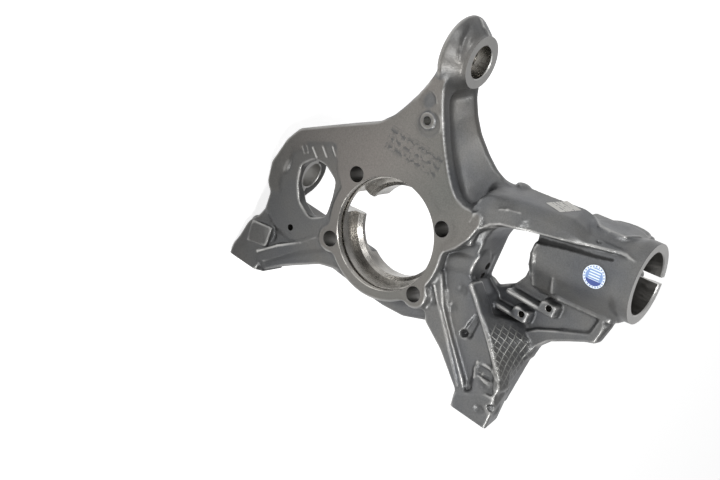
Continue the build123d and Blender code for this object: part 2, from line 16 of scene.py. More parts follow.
import bmesh
import bpy
import numpy as np
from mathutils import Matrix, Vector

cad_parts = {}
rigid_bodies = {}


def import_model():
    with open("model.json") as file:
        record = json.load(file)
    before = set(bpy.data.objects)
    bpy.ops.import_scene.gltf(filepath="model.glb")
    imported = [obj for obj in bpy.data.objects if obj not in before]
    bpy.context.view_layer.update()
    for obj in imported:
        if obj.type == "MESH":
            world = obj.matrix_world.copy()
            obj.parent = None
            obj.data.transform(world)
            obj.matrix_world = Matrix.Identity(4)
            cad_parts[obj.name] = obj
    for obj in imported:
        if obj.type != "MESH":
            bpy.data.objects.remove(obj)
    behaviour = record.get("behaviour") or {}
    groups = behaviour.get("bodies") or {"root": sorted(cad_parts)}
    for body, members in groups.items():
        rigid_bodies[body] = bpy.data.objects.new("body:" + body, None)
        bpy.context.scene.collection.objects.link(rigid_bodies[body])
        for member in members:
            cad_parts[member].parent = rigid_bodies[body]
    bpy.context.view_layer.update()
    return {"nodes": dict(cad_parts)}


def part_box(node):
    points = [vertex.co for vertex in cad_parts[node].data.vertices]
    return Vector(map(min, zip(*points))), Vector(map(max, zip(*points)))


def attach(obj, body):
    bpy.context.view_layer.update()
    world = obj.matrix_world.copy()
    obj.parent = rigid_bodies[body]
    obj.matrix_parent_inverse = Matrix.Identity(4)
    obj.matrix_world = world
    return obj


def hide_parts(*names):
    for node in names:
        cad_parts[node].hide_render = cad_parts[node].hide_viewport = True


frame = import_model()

import openvdb as vdb
from mathutils import Matrix, Vector

LOG = logging.getLogger("knuckle")
MM = 0.001
Array = np.ndarray
Point = Sequence[float]
Triple = tuple[float, float, float]
Window = tuple[slice, slice, slice]
Shape = Callable[[Array, Array, Array], Array]
Socket = bpy.types.NodeSocket
X_AXIS, Y_AXIS, Z_AXIS = (1, 0, 0), (0, 1, 0), (0, 0, 1)


# ---------------------------------------------------------------- places shared by the sub-assemblies
def unit(v: Point) -> Array:
    """The vector v at length one."""
    v = np.asarray(v, float)
    return v / np.linalg.norm(v)


@dataclass(frozen=True)
class Place:
    """A local frame: an origin and three square axes, the third along the piece."""

    origin: Triple
    x: Triple
    y: Triple
    z: Triple

    @classmethod
    def along(cls, origin: Point, z: Point, x: Point = X_AXIS) -> "Place":
        """A frame whose z runs along a direction.

        Args:
            origin: its origin.
            z: the direction of its z.
            x: the direction its x leans to, which isn't that of z.

        Returns:
            The frame.
        """
        z = unit(z)
        x = unit(np.asarray(x, float) - z * np.dot(x, z))
        return cls(tuple(origin), tuple(x), tuple(np.cross(z, x)), tuple(z))

    @classmethod
    def leaning(cls, origin: Point, x: float, y: float) -> "Place":
        """A frame at an origin whose z, of length one, leans by x and y out of the vertical."""
        return cls.along(origin, (x, y, math.sqrt(1 - x**2 - y**2)))

    def at(self, x: float, y: float, z: float) -> Array:
        """The point at local x, y, z."""
        return np.asarray(self.origin) + x * np.array(self.x) + y * np.array(self.y) + z * np.array(self.z)

    def out(self, local: Array) -> Array:
        """Local points as points of the part."""
        return np.asarray(self.origin) + local @ np.array([self.x, self.y, self.z])


TUBE = Place.leaning((-61.2, 54.0, 194.0), -0.128, 0.087)
FIN = Place.leaning((-60.3, 54.0, 194.0), -0.150, 0.210)
EYE_LEAN = math.radians(7)
EYE = Place.along((-152.0, 25.0, 6.0), (-math.sin(EYE_LEAN), 0, math.cos(EYE_LEAN)))
HUB = Place.along((0, 0, 0), Y_AXIS)
SMALL_BOSS = Place.along((-97.4, 0.5, -5), Y_AXIS)
LEG_HOLE = Place.along((41.8, 7.5, -83.2), Y_AXIS)
PINCH_OFFSET, PINCH_DOWN = 34.5, -38
BRACKET_HOLES = ((6.3, 119.8), (-9.9, 138.5))
HUB_HOLES = [(sx * 29.2, sz * 43.7) for sx in (-1, 1) for sz in (-1, 1)]
CALIPER_Y = 18
# middle line of the deep gap behind the fin, from the window to the end of the clamp
GAP_LINE = (
    (-57.2, 17.0, 112.5), (-59.1, 17.9, 119.7), (-61.2, 18.8, 126.7), (-63.4, 19.9, 134.5), (-65.1, 20.8, 141.6),
    (-66.7, 21.7, 148.8), (-68.1, 22.6, 155.2), (-69.4, 23.4, 160.6), (-71.0, 24.2, 165.8), (-72.7, 25.1, 171.0),
)
GAP_TAPER = 0.17


# ---------------------------------------------------------------- distance fields
def ease(t: Array) -> Array:
    """Smooth step of t held between 0 and 1: three t squared less two t cubed."""
    t = np.clip(t, 0.0, 1.0)
    return t * t * (3 - 2 * t)


def rod(a: Point, b: Point, ra: float, rb: float | None = None) -> Shape:
    """Distance to a round-ended rod: the distance to the nearest point of its line, less the radius there.

    Args:
        a: one end of its line.
        b: the other end.
        ra: its radius at a.
        rb: its radius at b, ra if none is given; it changes evenly between them.

    Returns:
        The distance as a function of x, y and z.
    """
    a, b = np.asarray(a, float), np.asarray(b, float)
    d = b - a
    rb = ra if rb is None else rb

    def distance(x: Array, y: Array, z: Array) -> Array:
        """The distance at x, y, z."""
        t = ((x - a[0]) * d[0] + (y - a[1]) * d[1] + (z - a[2]) * d[2]) / max(d @ d, 1e-9)
        t = np.clip(t, 0, 1)
        gap = np.sqrt((x - a[0] - t * d[0]) ** 2 + (y - a[1] - t * d[1]) ** 2 + (z - a[2] - t * d[2]) ** 2)
        return gap - ra - t * (rb - ra)

    return distance


def pipe(place: Place, low: float, high: float, radius: float) -> Shape:
    """Distance to a flat-ended cylinder: the larger of the distances to its wall and to its ends.

    Args:
        place: the frame whose z is its axis.
        low: the height of its lower end.
        high: the height of its upper end.
        radius: its radius.

    Returns:
        The distance as a function of x, y and z.
    """

    def distance(x: Array, y: Array, z: Array) -> Array:
        """The distance at x, y, z."""
        dx, dy, dz = x - place.origin[0], y - place.origin[1], z - place.origin[2]
        h = dx * place.z[0] + dy * place.z[1] + dz * place.z[2]
        r = np.sqrt(np.maximum(dx * dx + dy * dy + dz * dz - h * h, 0))
        return np.maximum(r - radius, np.abs(h - (low + high) / 2) - (high - low) / 2)

    return distance


def block(place: Place, half: Point, soft: float = 1.0) -> Shape:
    """Distance to a box with rounded edges: the distance to a box that is smaller by soft, less soft.

    Args:
        place: the frame at its middle.
        half: half its size along the frame's axes.
        soft: the radius of its edges.

    Returns:
        The distance as a function of x, y and z.
    """

    def distance(x: Array, y: Array, z: Array) -> Array:
        """The distance at x, y, z."""
        dx, dy, dz = x - place.origin[0], y - place.origin[1], z - place.origin[2]
        total, inside = 0.0, -1e9
        for axis, size in zip((place.x, place.y, place.z), half):
            q = np.abs(dx * axis[0] + dy * axis[1] + dz * axis[2]) - (size - soft)
            total = total + np.maximum(q, 0) ** 2
            inside = np.maximum(inside, q)
        return np.sqrt(total) + np.minimum(inside, 0) - soft

    return distance


def egg(place: Place, radii: Point) -> Shape:
    """Near distance to an ellipsoid: its scaled radius less one, times its smallest radius.

    Args:
        place: the frame at its middle.
        radii: its radii along the frame's axes.

    Returns:
        The distance as a function of x, y and z.
    """

    def distance(x: Array, y: Array, z: Array) -> Array:
        """The distance at x, y, z."""
        dx, dy, dz = x - place.origin[0], y - place.origin[1], z - place.origin[2]
        total = 0.0
        for axis, size in zip((place.x, place.y, place.z), radii):
            total = total + ((dx * axis[0] + dy * axis[1] + dz * axis[2]) / size) ** 2
        return (np.sqrt(total) - 1) * min(radii)

    return distance


def facets(planes: Sequence[tuple[Point, Point]]) -> Shape:
    """Distance to a solid bounded by planes: the largest of the distances to them.

    Args:
        planes: for each plane, a point on it and its outward direction.

    Returns:
        The distance as a function of x, y and z.
    """
    sides = [(np.asarray(p, float), unit(n)) for p, n in planes]

    def distance(x: Array, y: Array, z: Array) -> Array:
        """The distance at x, y, z."""
        total = None
        for p, n in sides:
            d = (x - p[0]) * n[0] + (y - p[1]) * n[1] + (z - p[2]) * n[2]
            total = d if total is None else np.maximum(total, d)
        return total

    return distance


@dataclass(frozen=True)
class Line:
    """A round line on the skin: its points, its radius, how far its middle is off the skin, its soft joint."""

    points: tuple[Triple, ...]
    radius: float
    proud: float = 0.0
    soft: float = 1.0


@dataclass(frozen=True)
class Egg:
    """An egg-shaped dent or bump: a point near the skin, its three radii and its soft joint."""

    centre: Triple
    radii: Triple
    soft: float = 1.0


@dataclass(frozen=True)
class Region:
    """A box of the casting that is rounded in its own way, its share fading out over a distance."""

    low: Triple
    high: Triple
    fade: float
    radius: float = 0.0


@dataclass
class Field:
    """Signed distances on a regular grid, below zero inside the metal.

    Attributes:
        pitch: the step of the grid.
        low: its lowest corner.
        values: the distances.
        band: the distance from the skin that is worked out.
        spare: the room left round a form for its joint.
    """

    pitch: float
    low: Array
    values: Array
    band: float
    spare: float = 1.5

    @classmethod
    def of_mesh(cls, points: Array, triangles: Array, pitch: float, margin: float, band: float) -> "Field":
        """The field of a closed mesh.

        Args:
            points: its vertices.
            triangles: its faces, three vertex numbers each.
            pitch: the step of the grid.
            margin: the room left round the mesh.
            band: the distance from the skin that is worked out.

        Returns:
            The sampled field.
        """
        low = points.min(0) - margin
        shape = np.ceil((points.max(0) + margin - low) / pitch).astype(int) + 1
        made = cls(pitch, low, np.zeros(shape, np.float32), band)
        made._measure((points - low) / pitch, triangles=triangles.astype(np.uint32))
        return made

    def _measure(self, points: Array, **faces: Array) -> None:
        """Fills the grid with the distances to a mesh.

        Args:
            points: its vertices, in grid steps.
            faces: its triangles or quads.
        """
        grid = vdb.FloatGrid.createLevelSetFromPolygons(
            np.ascontiguousarray(points, np.float32), halfWidth=self.band / self.pitch, **faces
        )
        grid.copyToArray(self.values, ijk=(0, 0, 0))
        self.values *= self.pitch

    def copy(self) -> "Field":
        """A field of its own with the same distances."""
        return Field(self.pitch, self.low, self.values.copy(), self.band)

    def skin(self, level: float = 0.0) -> tuple[Array, Array]:
        """The surface where the field has a value, as points in grid steps and four-sided faces."""
        grid = vdb.FloatGrid(self.band)
        grid.copyFromArray(self.values)
        return grid.convertToQuads(isovalue=level)

    def grown(self, reach: float) -> "Field":
        """The field of the body grown by a reach, or worn back by it where it is below zero."""
        made = self.copy()
        points, quads = self.skin(reach)
        made._measure(points, quads=np.ascontiguousarray(quads, np.uint32))
        return made

    def closed(self, radius: float) -> "Field":
        """The body with every inner corner filled to a radius: it is grown by the radius and worn back by it."""
        return self.grown(radius).grown(-radius)

    def opened(self, radius: float) -> "Field":
        """The body with every outer corner worn to a radius: it is worn back by the radius and grown by it."""
        return self.grown(-radius).grown(radius)

    def axes(self, window: Window | None = None) -> tuple[Array, Array, Array]:
        """The coordinates of the grid's steps along X, Y and Z, ready to be combined.

        Args:
            window: the part of the grid that is meant, all of it if none is given.

        Returns:
            Three arrays that spread along the three directions of the grid.
        """
        window = window or (slice(None),) * 3
        counts = [np.arange(n, dtype=np.float32)[w] for n, w in zip(self.values.shape, window)]
        x, y, z = (low + self.pitch * count for low, count in zip(self.low, counts))
        return x[:, None, None], y[None, :, None], z[None, None, :]

    def window(self, low: Point, high: Point) -> Window:
        """The part of the grid between two corners."""
        a = np.clip(np.floor((np.asarray(low) - self.low) / self.pitch).astype(int), 0, None)
        b = np.ceil((np.asarray(high) - self.low) / self.pitch).astype(int) + 1
        return tuple(slice(int(i), int(j)) for i, j in zip(a, b))

    def part(self, low: Point, high: Point) -> tuple["Field", Window]:
        """A field of its own of the grid between two corners, and where it lies in this one."""
        w = self.window(low, high)
        start = self.low + self.pitch * np.array([s.start for s in w])
        return Field(self.pitch, start, self.values[w].copy(), self.band), w

    def share(self, region: Region) -> Array:
        """A share at each step that is 1 inside a region's box and fades to 0 over its distance outside it."""
        share = np.float32(1.0)
        for steps, a, b in zip(self.axes(), region.low, region.high):
            share = share * (1 - ease(np.maximum(a - steps, steps - b) / region.fade)).astype(np.float32)
        return share

    def add(self, shape: Shape, low: Point, high: Point, soft: float = 0.0) -> None:
        """Joins a shape to the body between two corners, the joint filled smoothly over a width."""
        self._combine(shape, low, high, soft, 1.0)

    def carve(self, shape: Shape, low: Point, high: Point, soft: float = 0.0) -> None:
        """Takes a shape out of the body between two corners, the rim rounded smoothly over a width."""
        self._combine(shape, low, high, soft, -1.0)

    def _combine(self, shape: Shape, low: Point, high: Point, soft: float, sign: float) -> None:
        """Takes the smaller of two distances, blended by a parabola where they differ by less than soft.

        Args:
            shape: the distance to the shape.
            low: lowest corner of the box that is changed.
            high: its highest corner.
            soft: the width of the blend.
            sign: 1 to join the shape to the body, -1 to take it out.
        """
        w = self.window(low, high)
        here = sign * self.values[w]
        other = shape(*self.axes(w))
        if soft > 0:
            h = np.clip(0.5 + 0.5 * (other - here) / soft, 0, 1)
            mixed = other + (here - other) * h - soft * h * (1 - h)
        else:
            mixed = np.minimum(here, other)
        self.values[w] = sign * mixed

    def blurred(self, sigma: float) -> "Field":
        """The field averaged with a bell curve, one direction after another.

        Args:
            sigma: the width of the curve.

        Returns:
            A field of its own.
        """
        made = self.copy()
        s = sigma / self.pitch
        reach = max(1, int(math.ceil(2.5 * s)))
        weights = np.exp(-0.5 * (np.arange(-reach, reach + 1) / s) ** 2)
        weights /= weights.sum()
        for axis in range(3):
            source = made.values
            total = source * np.float32(weights[reach])
            for step in range(1, reach + 1):
                weight = np.float32(weights[reach + step])
                near = [slice(None)] * 3
                far = [slice(None)] * 3
                near[axis], far[axis] = slice(step, None), slice(None, -step)
                total[tuple(near)] += weight * source[tuple(far)]
                total[tuple(far)] += weight * source[tuple(near)]
                # past the ends of the grid the outermost steps count again
                edge = [slice(None)] * 3
                for end in (slice(None, step), slice(-step, None)):
                    edge[axis] = end
                    total[tuple(edge)] += weight * source[tuple(edge)]
            made.values = total
        return made

    def sample(self, points: Array) -> Array:
        """The field at points, weighed from the eight grid steps round each.

        Args:
            points: points of the part.

        Returns:
            One distance for each point.
        """
        g = np.clip((points - self.low) / self.pitch, 0, np.array(self.values.shape) - 1.001)
        i = g.astype(int)
        f = g - i
        total = np.zeros(len(points))
        for corner in range(8):
            o = np.array([corner & 1, corner >> 1 & 1, corner >> 2 & 1])
            weight = np.prod(np.where(o, f, 1 - f), 1)
            total += weight * self.values[tuple((i + o).T)]
        return total

    def slope(self, points: Array) -> Array:
        """The direction in which the distance grows at points, from differences over one step."""
        step = self.pitch
        rise = [self.sample(points + step * e) - self.sample(points - step * e) for e in np.eye(3)]
        n = np.stack(rise, 1)
        return n / np.maximum(np.linalg.norm(n, axis=1, keepdims=True), 1e-9)

    def settled(self, points: Sequence[Point]) -> Array:
        """Points moved onto the skin: three times along the slope by the distance that is left."""
        points = np.asarray(points, float)
        for _ in range(3):
            points = points - self.slope(points) * self.sample(points)[:, None]
        return points

    def bead(self, line: Line) -> None:
        """Lays a line on the skin as a raised bead."""
        self._draw(line, self.add)

    def furrow(self, line: Line) -> None:
        """Cuts a line into the skin as a furrow."""
        self._draw(line, self.carve)

    def _draw(self, line: Line, work: Callable) -> None:
        """Joins or carves a rod along each stretch of a line, which is settled on the skin and then lifted.

        Args:
            line: the line.
            work: the field's own add or carve.
        """
        spots = self.settled(line.points)
        spots = spots + self.slope(spots) * line.proud
        reach = line.radius + line.soft + self.spare
        for a, b in zip(spots, spots[1:]):
            work(rod(a, b, line.radius), np.minimum(a, b) - reach, np.maximum(a, b) + reach, line.soft)

    def dent(self, form: Egg) -> None:
        """Presses an egg-shaped dent into the skin."""
        self._press(form, self.carve)

    def bump(self, form: Egg) -> None:
        """Raises an egg-shaped bump on the skin."""
        self._press(form, self.add)

    def _press(self, form: Egg, work: Callable) -> None:
        """Joins or carves an egg whose middle is settled on the skin.

        Args:
            form: the egg.
            work: the field's own add or carve.
        """
        spot = self.settled([form.centre])[0]
        reach = np.asarray(form.radii) + form.soft + self.spare
        work(egg(Place.along(spot, Z_AXIS), form.radii), spot - reach, spot + reach, form.soft)


# ---------------------------------------------------------------- meshes
def new_piece(name: str, points: Array, faces: Sequence | Array) -> bpy.types.Object:
    """An object at the origin, made of points and faces.

    Args:
        name: its name.
        points: an array of points of the part.
        faces: vertex numbers, an array of one face size or a list.

    Returns:
        The linked object.
    """
    mesh = bpy.data.meshes.new(name)
    mesh.from_pydata((np.asarray(points) * MM).tolist(), [], faces if isinstance(faces, list) else faces.tolist())
    mesh.update()
    piece = bpy.data.objects.new(name, mesh)
    bpy.context.scene.collection.objects.link(piece)
    return piece


def turned(profile: Sequence[tuple[float, float]], place: Place, around: int = 128) -> tuple[Array, list]:
    """A closed solid of revolution; a grid point is at local (r cos a, r sin a, h).

    Args:
        profile: points (h, r), the first and the last on the axis.
        place: the frame whose z is the axis.
        around: how many steps it has round the axis.

    Returns:
        Its points and its faces.
    """
    angles = np.linspace(0, 2 * np.pi, around, endpoint=False)
    h, r = np.array(profile[1:-1], float).T
    ring = np.stack([
        np.outer(r, np.cos(angles)), np.outer(r, np.sin(angles)), np.repeat(h[:, None], around, 1)
    ], -1).reshape(-1, 3)
    local = np.vstack([ring, [[0, 0, profile[0][0]], [0, 0, profile[-1][0]]]])
    rows, step = len(h), np.arange(around)
    pairs = list(zip(step.tolist(), ((step + 1) % around).tolist()))
    faces = [[i * around + a, i * around + b, (i + 1) * around + b, (i + 1) * around + a]
             for i in range(rows - 1) for a, b in pairs]
    first, last, top = rows * around, rows * around + 1, (rows - 1) * around
    faces += [[first, b, a] for a, b in pairs]
    faces += [[last, top + a, top + b] for a, b in pairs]
    return place.out(local), faces


def prism(outline: Sequence[Point], low: float, high: float, place: Place) -> tuple[Array, list]:
    """A straight-sided solid: an outline in a frame's x and y carried along its z.

    Args:
        outline: points (x, y) in order.
        low: the height where it starts.
        high: the height where it ends.
        place: the frame.

    Returns:
        Its points and its faces.
    """
    n = len(outline)
    flat = np.array(outline, float)
    local = np.vstack([np.c_[flat, np.full(n, low)], np.c_[flat, np.full(n, high)]])
    faces = [list(range(n))[::-1], list(range(n, 2 * n))]
    faces += [[i, (i + 1) % n, n + (i + 1) % n, n + i] for i in range(n)]
    return place.out(local), faces


def recalculated(piece: bpy.types.Object) -> bpy.types.Object:
    """The piece with its faces turned outwards."""
    bm = bmesh.new()
    bm.from_mesh(piece.data)
    bmesh.ops.recalc_face_normals(bm, faces=bm.faces)
    bm.to_mesh(piece.data)
    bm.free()
    return piece


def applied(piece: bpy.types.Object) -> None:
    """Replaces the piece's mesh by the one its modifiers make, and removes them."""
    graph = bpy.context.evaluated_depsgraph_get()
    mesh = bpy.data.meshes.new_from_object(piece.evaluated_get(graph), depsgraph=graph)
    piece.modifiers.clear()
    old, piece.data = piece.data, mesh
    mesh.name = piece.name
    bpy.data.meshes.remove(old)


def node_mesh(node: str) -> tuple[Array, Array]:
    """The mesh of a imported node, its loose triangles sewn together.

    Args:
        node: the node's name.

    Returns:
        Its points and its triangles.
    """
    bm = bmesh.new()
    bm.from_mesh(frame["nodes"][node].data)
    bmesh.ops.remove_doubles(bm, verts=bm.verts, dist=1e-6)
    bmesh.ops.triangulate(bm, faces=bm.faces)
    bm.verts.ensure_lookup_table()
    points = np.array([v.co[:] for v in bm.verts]) / MM
    triangles = np.array([[v.index for v in f.verts] for f in bm.faces])
    bm.free()
    return points, triangles


# ---------------------------------------------------------------- finishes
class Nodes:
    """A small hand for laying out one material's nodes."""

    def __init__(self, name: str) -> None:
        """Starts a material with its surface shader."""
        self.material = bpy.data.materials.new(name)
        self.material.use_nodes = True
        self.tree = self.material.node_tree
        self.shader = next(n for n in self.tree.nodes if n.type == "BSDF_PRINCIPLED")

    def add(self, kind: str, inputs: dict | None = None, **settings: object) -> bpy.types.Node:
        """A new node.

        Args:
            kind: its type.
            inputs: what its inputs get; a socket is linked and a value is set.
            settings: its own settings.

        Returns:
            The node.
        """
        node = self.tree.nodes.new(kind)
        for key, value in settings.items():
            setattr(node, key, value)
        for key, value in (inputs or {}).items():
            self.feed(node, key, value)
        return node

    def feed(self, node: bpy.types.Node, key: str | int, value: object) -> None:
        """Links a socket to an input, or sets its value."""
        if isinstance(value, Socket):
            self.tree.links.new(value, node.inputs[key])
        else:
            node.inputs[key].default_value = value

    def ramp(self, source: Socket, *stops: tuple[float, Point | float]) -> Socket:
        """A colour that follows a value through stops.

        Args:
            source: the value.
            stops: places between 0 and 1, each with its colour or its grey.

        Returns:
            The colour.
        """
        node = self.add("ShaderNodeValToRGB", {"Fac": source})
        ramp = node.color_ramp
        while len(ramp.elements) < len(stops):
            ramp.elements.new(0.5)
        for element, (place, colour) in zip(ramp.elements, stops):
            element.position = place
            element.color = (*(colour if isinstance(colour, tuple) else (colour,) * 3), 1.0)
        return node.outputs["Color"]

    def noise(self, scale: float, detail: float, rough: float, vector: Socket | None = None) -> Socket:
        """Noise on the object's own coordinates.

        Args:
            scale: its cells per metre.
            detail: how many finer layers it has.
            rough: how strong they are.
            vector: other coordinates to read.

        Returns:
            The noise, from 0 to 1.
        """
        inputs = {"Vector": vector or self.place(), "Scale": scale, "Detail": detail, "Roughness": rough}
        return self.add("ShaderNodeTexNoise", inputs).outputs["Fac"]

    def place(self) -> Socket:
        """The object's own coordinates."""
        return self.add("ShaderNodeTexCoord").outputs["Object"]

    def mask(self, name: str) -> Socket:
        """A named share kept at the mesh's vertices."""
        return self.add("ShaderNodeAttribute", attribute_name=name).outputs["Fac"]

    def along(self, axis: Point, middle: Point = (0, 0, 0)) -> Socket:
        """Millimetres along a direction from a point of the part: the dot product of the place with the axis."""
        product = self.add("ShaderNodeVectorMath", {0: self.place(), 1: tuple(float(v) / MM for v in axis)},
                           operation="DOT_PRODUCT").outputs["Value"]
        return self.math("SUBTRACT", product, float(np.dot(axis, middle)))

    def math(self, operation: str, a: object, b: object = 0.0, clamp: bool = False) -> Socket:
        """The result of one sum on two values or sockets."""
        return self.add("ShaderNodeMath", {0: a, 1: b}, operation=operation, use_clamp=clamp).outputs[0]

    def times(self, a: object, b: object, clamp: bool = False) -> Socket:
        """The product of two values or sockets."""
        return self.math("MULTIPLY", a, b, clamp)

    def within(self, value: Socket, reach: float) -> Socket:
        """A share that is 1 where a value is less than a reach away from 0."""
        return self.math("LESS_THAN", self.math("ABSOLUTE", value), reach)

    def stripes(self, value: Socket, turns: float, level: float) -> Socket:
        """A share that is 1 where the sine of a value times turns is above a level."""
        return self.math("GREATER_THAN", self.math("SINE", self.times(value, turns)), level)

    def blend(self, share: object, a: object, b: object, how: str = "MIX") -> Socket:
        """A colour between two.

        Args:
            share: the share of the second.
            a: the first colour.
            b: the second colour.
            how: the way they mix.

        Returns:
            The colour.
        """
        node = self.add("ShaderNodeMix", data_type="RGBA", blend_type=how, clamp_factor=True)
        self.feed(node, 0, share)
        for key, colour in ((6, a), (7, b)):
            self.feed(node, key, colour if isinstance(colour, Socket) else (*colour, 1.0))
        return node.outputs[2]

    def bump(self, height: Socket, distance: float, strength: float, under: Socket | None = None) -> Socket:
        """A bent normal.

        Args:
            height: the height that bends it, from 0 to 1.
            distance: what a height of 1 is, in metres.
            strength: how strongly it bends.
            under: another bump below it.

        Returns:
            The normal.
        """
        inputs = {"Height": height, "Distance": distance, "Strength": strength}
        if under is not None:
            inputs["Normal"] = under
        return self.add("ShaderNodeBump", inputs).outputs["Normal"]

    def surface(self, **inputs: object) -> bpy.types.Material:
        """Sets the surface shader's inputs, given with _ for a space, and returns the material."""
        for key, value in inputs.items():
            self.feed(self.shader, key.replace("_", " "), value)
        return self.material


@dataclass(frozen=True)
class CastFinish:
    """Skin of a shot-blasted aluminium casting: matt grey, slightly blotched, with painted highlights on its ridges
    and painted shade in its concave places.

    It reads the shares that the casting keeps at its vertices: ridge, front, deep, net and gap.

    Attributes:
        cool, colour, warm: the three tones of the blotches.
        plate: the two tones of the front plate.
        ridge, hollow, wire, void: tones of the painted highlight on edges, the painted shade in concave places,
        the painted highlight on the net's raised lines and the painted shadow in the gap behind the fin.
        shade_start_z, shade_rate, shade_end_tone: where the painted shade towards -Z starts, how fast it grows, and
        its darkest tone.
        deep_share, slope_share, rows_share: the share of painted shade in sunk places, over the net's ground and
        on the rows.
        net_across, net_along: directions square to the two families of wires.
        across_step, along_step: the distances from wire to wire.
        along_share: how strong the second family is against the first.
        across_width, along_width: the widths over which a wire fades.
        rows_step, rows_width: the distance and the width of the rough rows.
        rows_middle, rows_half: the middle of their field in X and Z, and half its size.
    """

    cool: Triple = (0.086, 0.089, 0.095)
    colour: Triple = (0.110, 0.110, 0.108)
    warm: Triple = (0.128, 0.122, 0.113)
    plate: tuple[Triple, Triple] = ((0.104, 0.104, 0.096), (0.150, 0.138, 0.127))
    ridge: Triple = (0.46, 0.455, 0.44)
    shade_tone: Triple = (0.058, 0.059, 0.060)
    wire_highlight: Triple = (0.26, 0.26, 0.245)
    gap_shadow: Triple = (0.004, 0.004, 0.004)
    metallic: float = 0.62
    roughness: tuple[float, float] = (0.34, 0.46)
    highlight_roughness: float = 0.33
    gap_shadow_roughness: float = 0.9
    shade_start_z: float = -15
    shade_rate: float = 0.0068
    shade_end_tone: float = 0.2
    deep_share: float = 0.26
    slope_share: float = 0.35
    rows_share: float = 0.85
    net_across: Triple = (0.40312, 0.64041, 0.65431)
    across_step: float = 6.0
    across_width: float = 0.95
    net_along: Triple = (-0.73295, 0.65371, -0.18819)
    along_step: float = 4.4
    along_width: float = 0.8
    along_share: float = 0.6
    rows_step: float = 6.3
    rows_width: float = 3.4
    rows_middle: tuple[float, float] = (-69.5, -5)
    rows_half: tuple[float, float] = (10.5, 26.0)

    def planes(self, n: Nodes, normal: Point, step: float, width: float) -> Socket:
        """A share that is 1 on each of a family of parallel planes.

        Args:
            n: the material's nodes.
            normal: the direction square to the planes.
            step: the distance from plane to plane.
            width: the distance from a plane at which the share is 0.

        Returns:
            The share.
        """
        run = n.math("PINGPONG", n.times(n.along(normal), 1 / step), 0.5)
        return n.math("SUBTRACT", 1.0, n.times(run, step / width), True)

    def metal(self, n: Nodes, fine: Socket) -> Socket:
        """The plain tint: blotches, the front plate, painted shade towards -Z and the fine grain.

        Args:
            n: the material's nodes.
            fine: the noise of the grain.

        Returns:
            The colour.
        """
        tint = n.ramp(n.noise(16, 3, 0.55), (0.34, self.cool), (0.52, self.colour), (0.70, self.warm))
        plate = n.ramp(n.noise(9, 2, 0.5), (0.35, self.plate[0]), (0.65, self.plate[1]))
        tint = n.blend(n.mask("front"), tint, plate)
        # painted shade: the skin turns darker towards -Z
        low_side_shade = n.times(n.along((0, 0, -1), (0, 0, self.shade_start_z)), self.shade_rate, True)
        tint = n.blend(low_side_shade, tint, tuple(self.shade_end_tone * c for c in self.colour))
        return n.blend(1.0, tint, n.ramp(fine, (0.3, 0.84), (0.7, 1.12)), "MULTIPLY")

    def net(self, n: Nodes) -> Socket:
        """The raised wires of the net, two broken families of planes, where the net's share is."""
        across = self.planes(n, self.net_across, self.across_step, self.across_width)
        along = self.planes(n, self.net_along, self.along_step, self.along_width)
        wires = n.math("MAXIMUM", across, n.times(along, self.along_share))
        broken = n.times(wires, n.ramp(n.noise(260, 2, 0.5), (0.3, 0.35), (0.6, 1.0)))
        return n.times(broken, n.mask("net"))

    def rows(self, n: Nodes) -> Socket:
        """The rough raised rows in their field of the front plate: rows of planes broken by noise."""
        rows = self.planes(n, X_AXIS, self.rows_step, self.rows_width)
        x, z = self.rows_middle
        inside = n.times(n.within(n.along(X_AXIS, (x, 0, 0)), self.rows_half[0]),
                         n.within(n.along(Z_AXIS, (0, 0, z)), self.rows_half[1]))
        marks = n.ramp(n.noise(360, 1, 0.5), (0.48, 0.0), (0.54, 1.0))
        return n.times(n.times(marks, rows, True), n.times(inside, n.mask("front")))

    def material(self) -> bpy.types.Material:
        """Builds the material: the tint and roughness by its shares, over four layers of bumps."""
        n = Nodes("cast_aluminium_skin")
        fine, curve, gap = n.noise(900, 3, 0.6), n.mask("ridge"), n.mask("gap")
        net, rows = self.net(n), self.rows(n)
        # painted highlight: a light tone along the ridges, broken by noise, with its own roughness below
        ridge_highlight = n.times(curve, n.ramp(n.noise(45, 2, 0.5), (0.35, 0.35), (0.65, 0.75)), True)
        tint = self.metal(n, fine)
        for share, tone in (
            # painted highlight on the ridges
            (ridge_highlight, self.ridge),
            # painted shade in concave places
            (n.times(curve, -1.0, True), self.shade_tone),
            # painted shade in sunk places
            (n.times(n.mask("deep"), self.deep_share), self.shade_tone),
            # painted shade over the net's ground
            (n.times(n.mask("net"), self.slope_share), self.shade_tone),
            # painted highlight on the net's raised wires
            (net, self.wire_highlight),
            # painted shade on the raised rows
            (n.times(rows, self.rows_share), self.shade_tone),
            # painted shadow: near black in the gap behind the fin
            (gap, self.gap_shadow),
        ):
            tint = n.blend(share, tint, tone)
        rough = n.ramp(n.noise(60, 4, 0.6), (0.3, self.roughness[0]), (0.75, self.roughness[1]))
        rough = n.blend(ridge_highlight, rough, (self.highlight_roughness,) * 3)
        # the gap's painted shadow is rough here and is not metallic below
        rough = n.blend(gap, rough, (self.gap_shadow_roughness,) * 3)
        skin = n.bump(n.noise(160, 4, 0.65), 0.00030, 0.5)
        for height, distance, strength in ((fine, 0.00012, 0.55), (net, 0.0007, 0.8), (rows, 0.0006, 0.7)):
            skin = n.bump(height, distance, strength, skin)
        metal = n.times(n.math("SUBTRACT", 1.0, gap), self.metallic)
        return n.surface(Base_Color=tint, Metallic=metal, Roughness=rough, Normal=skin)


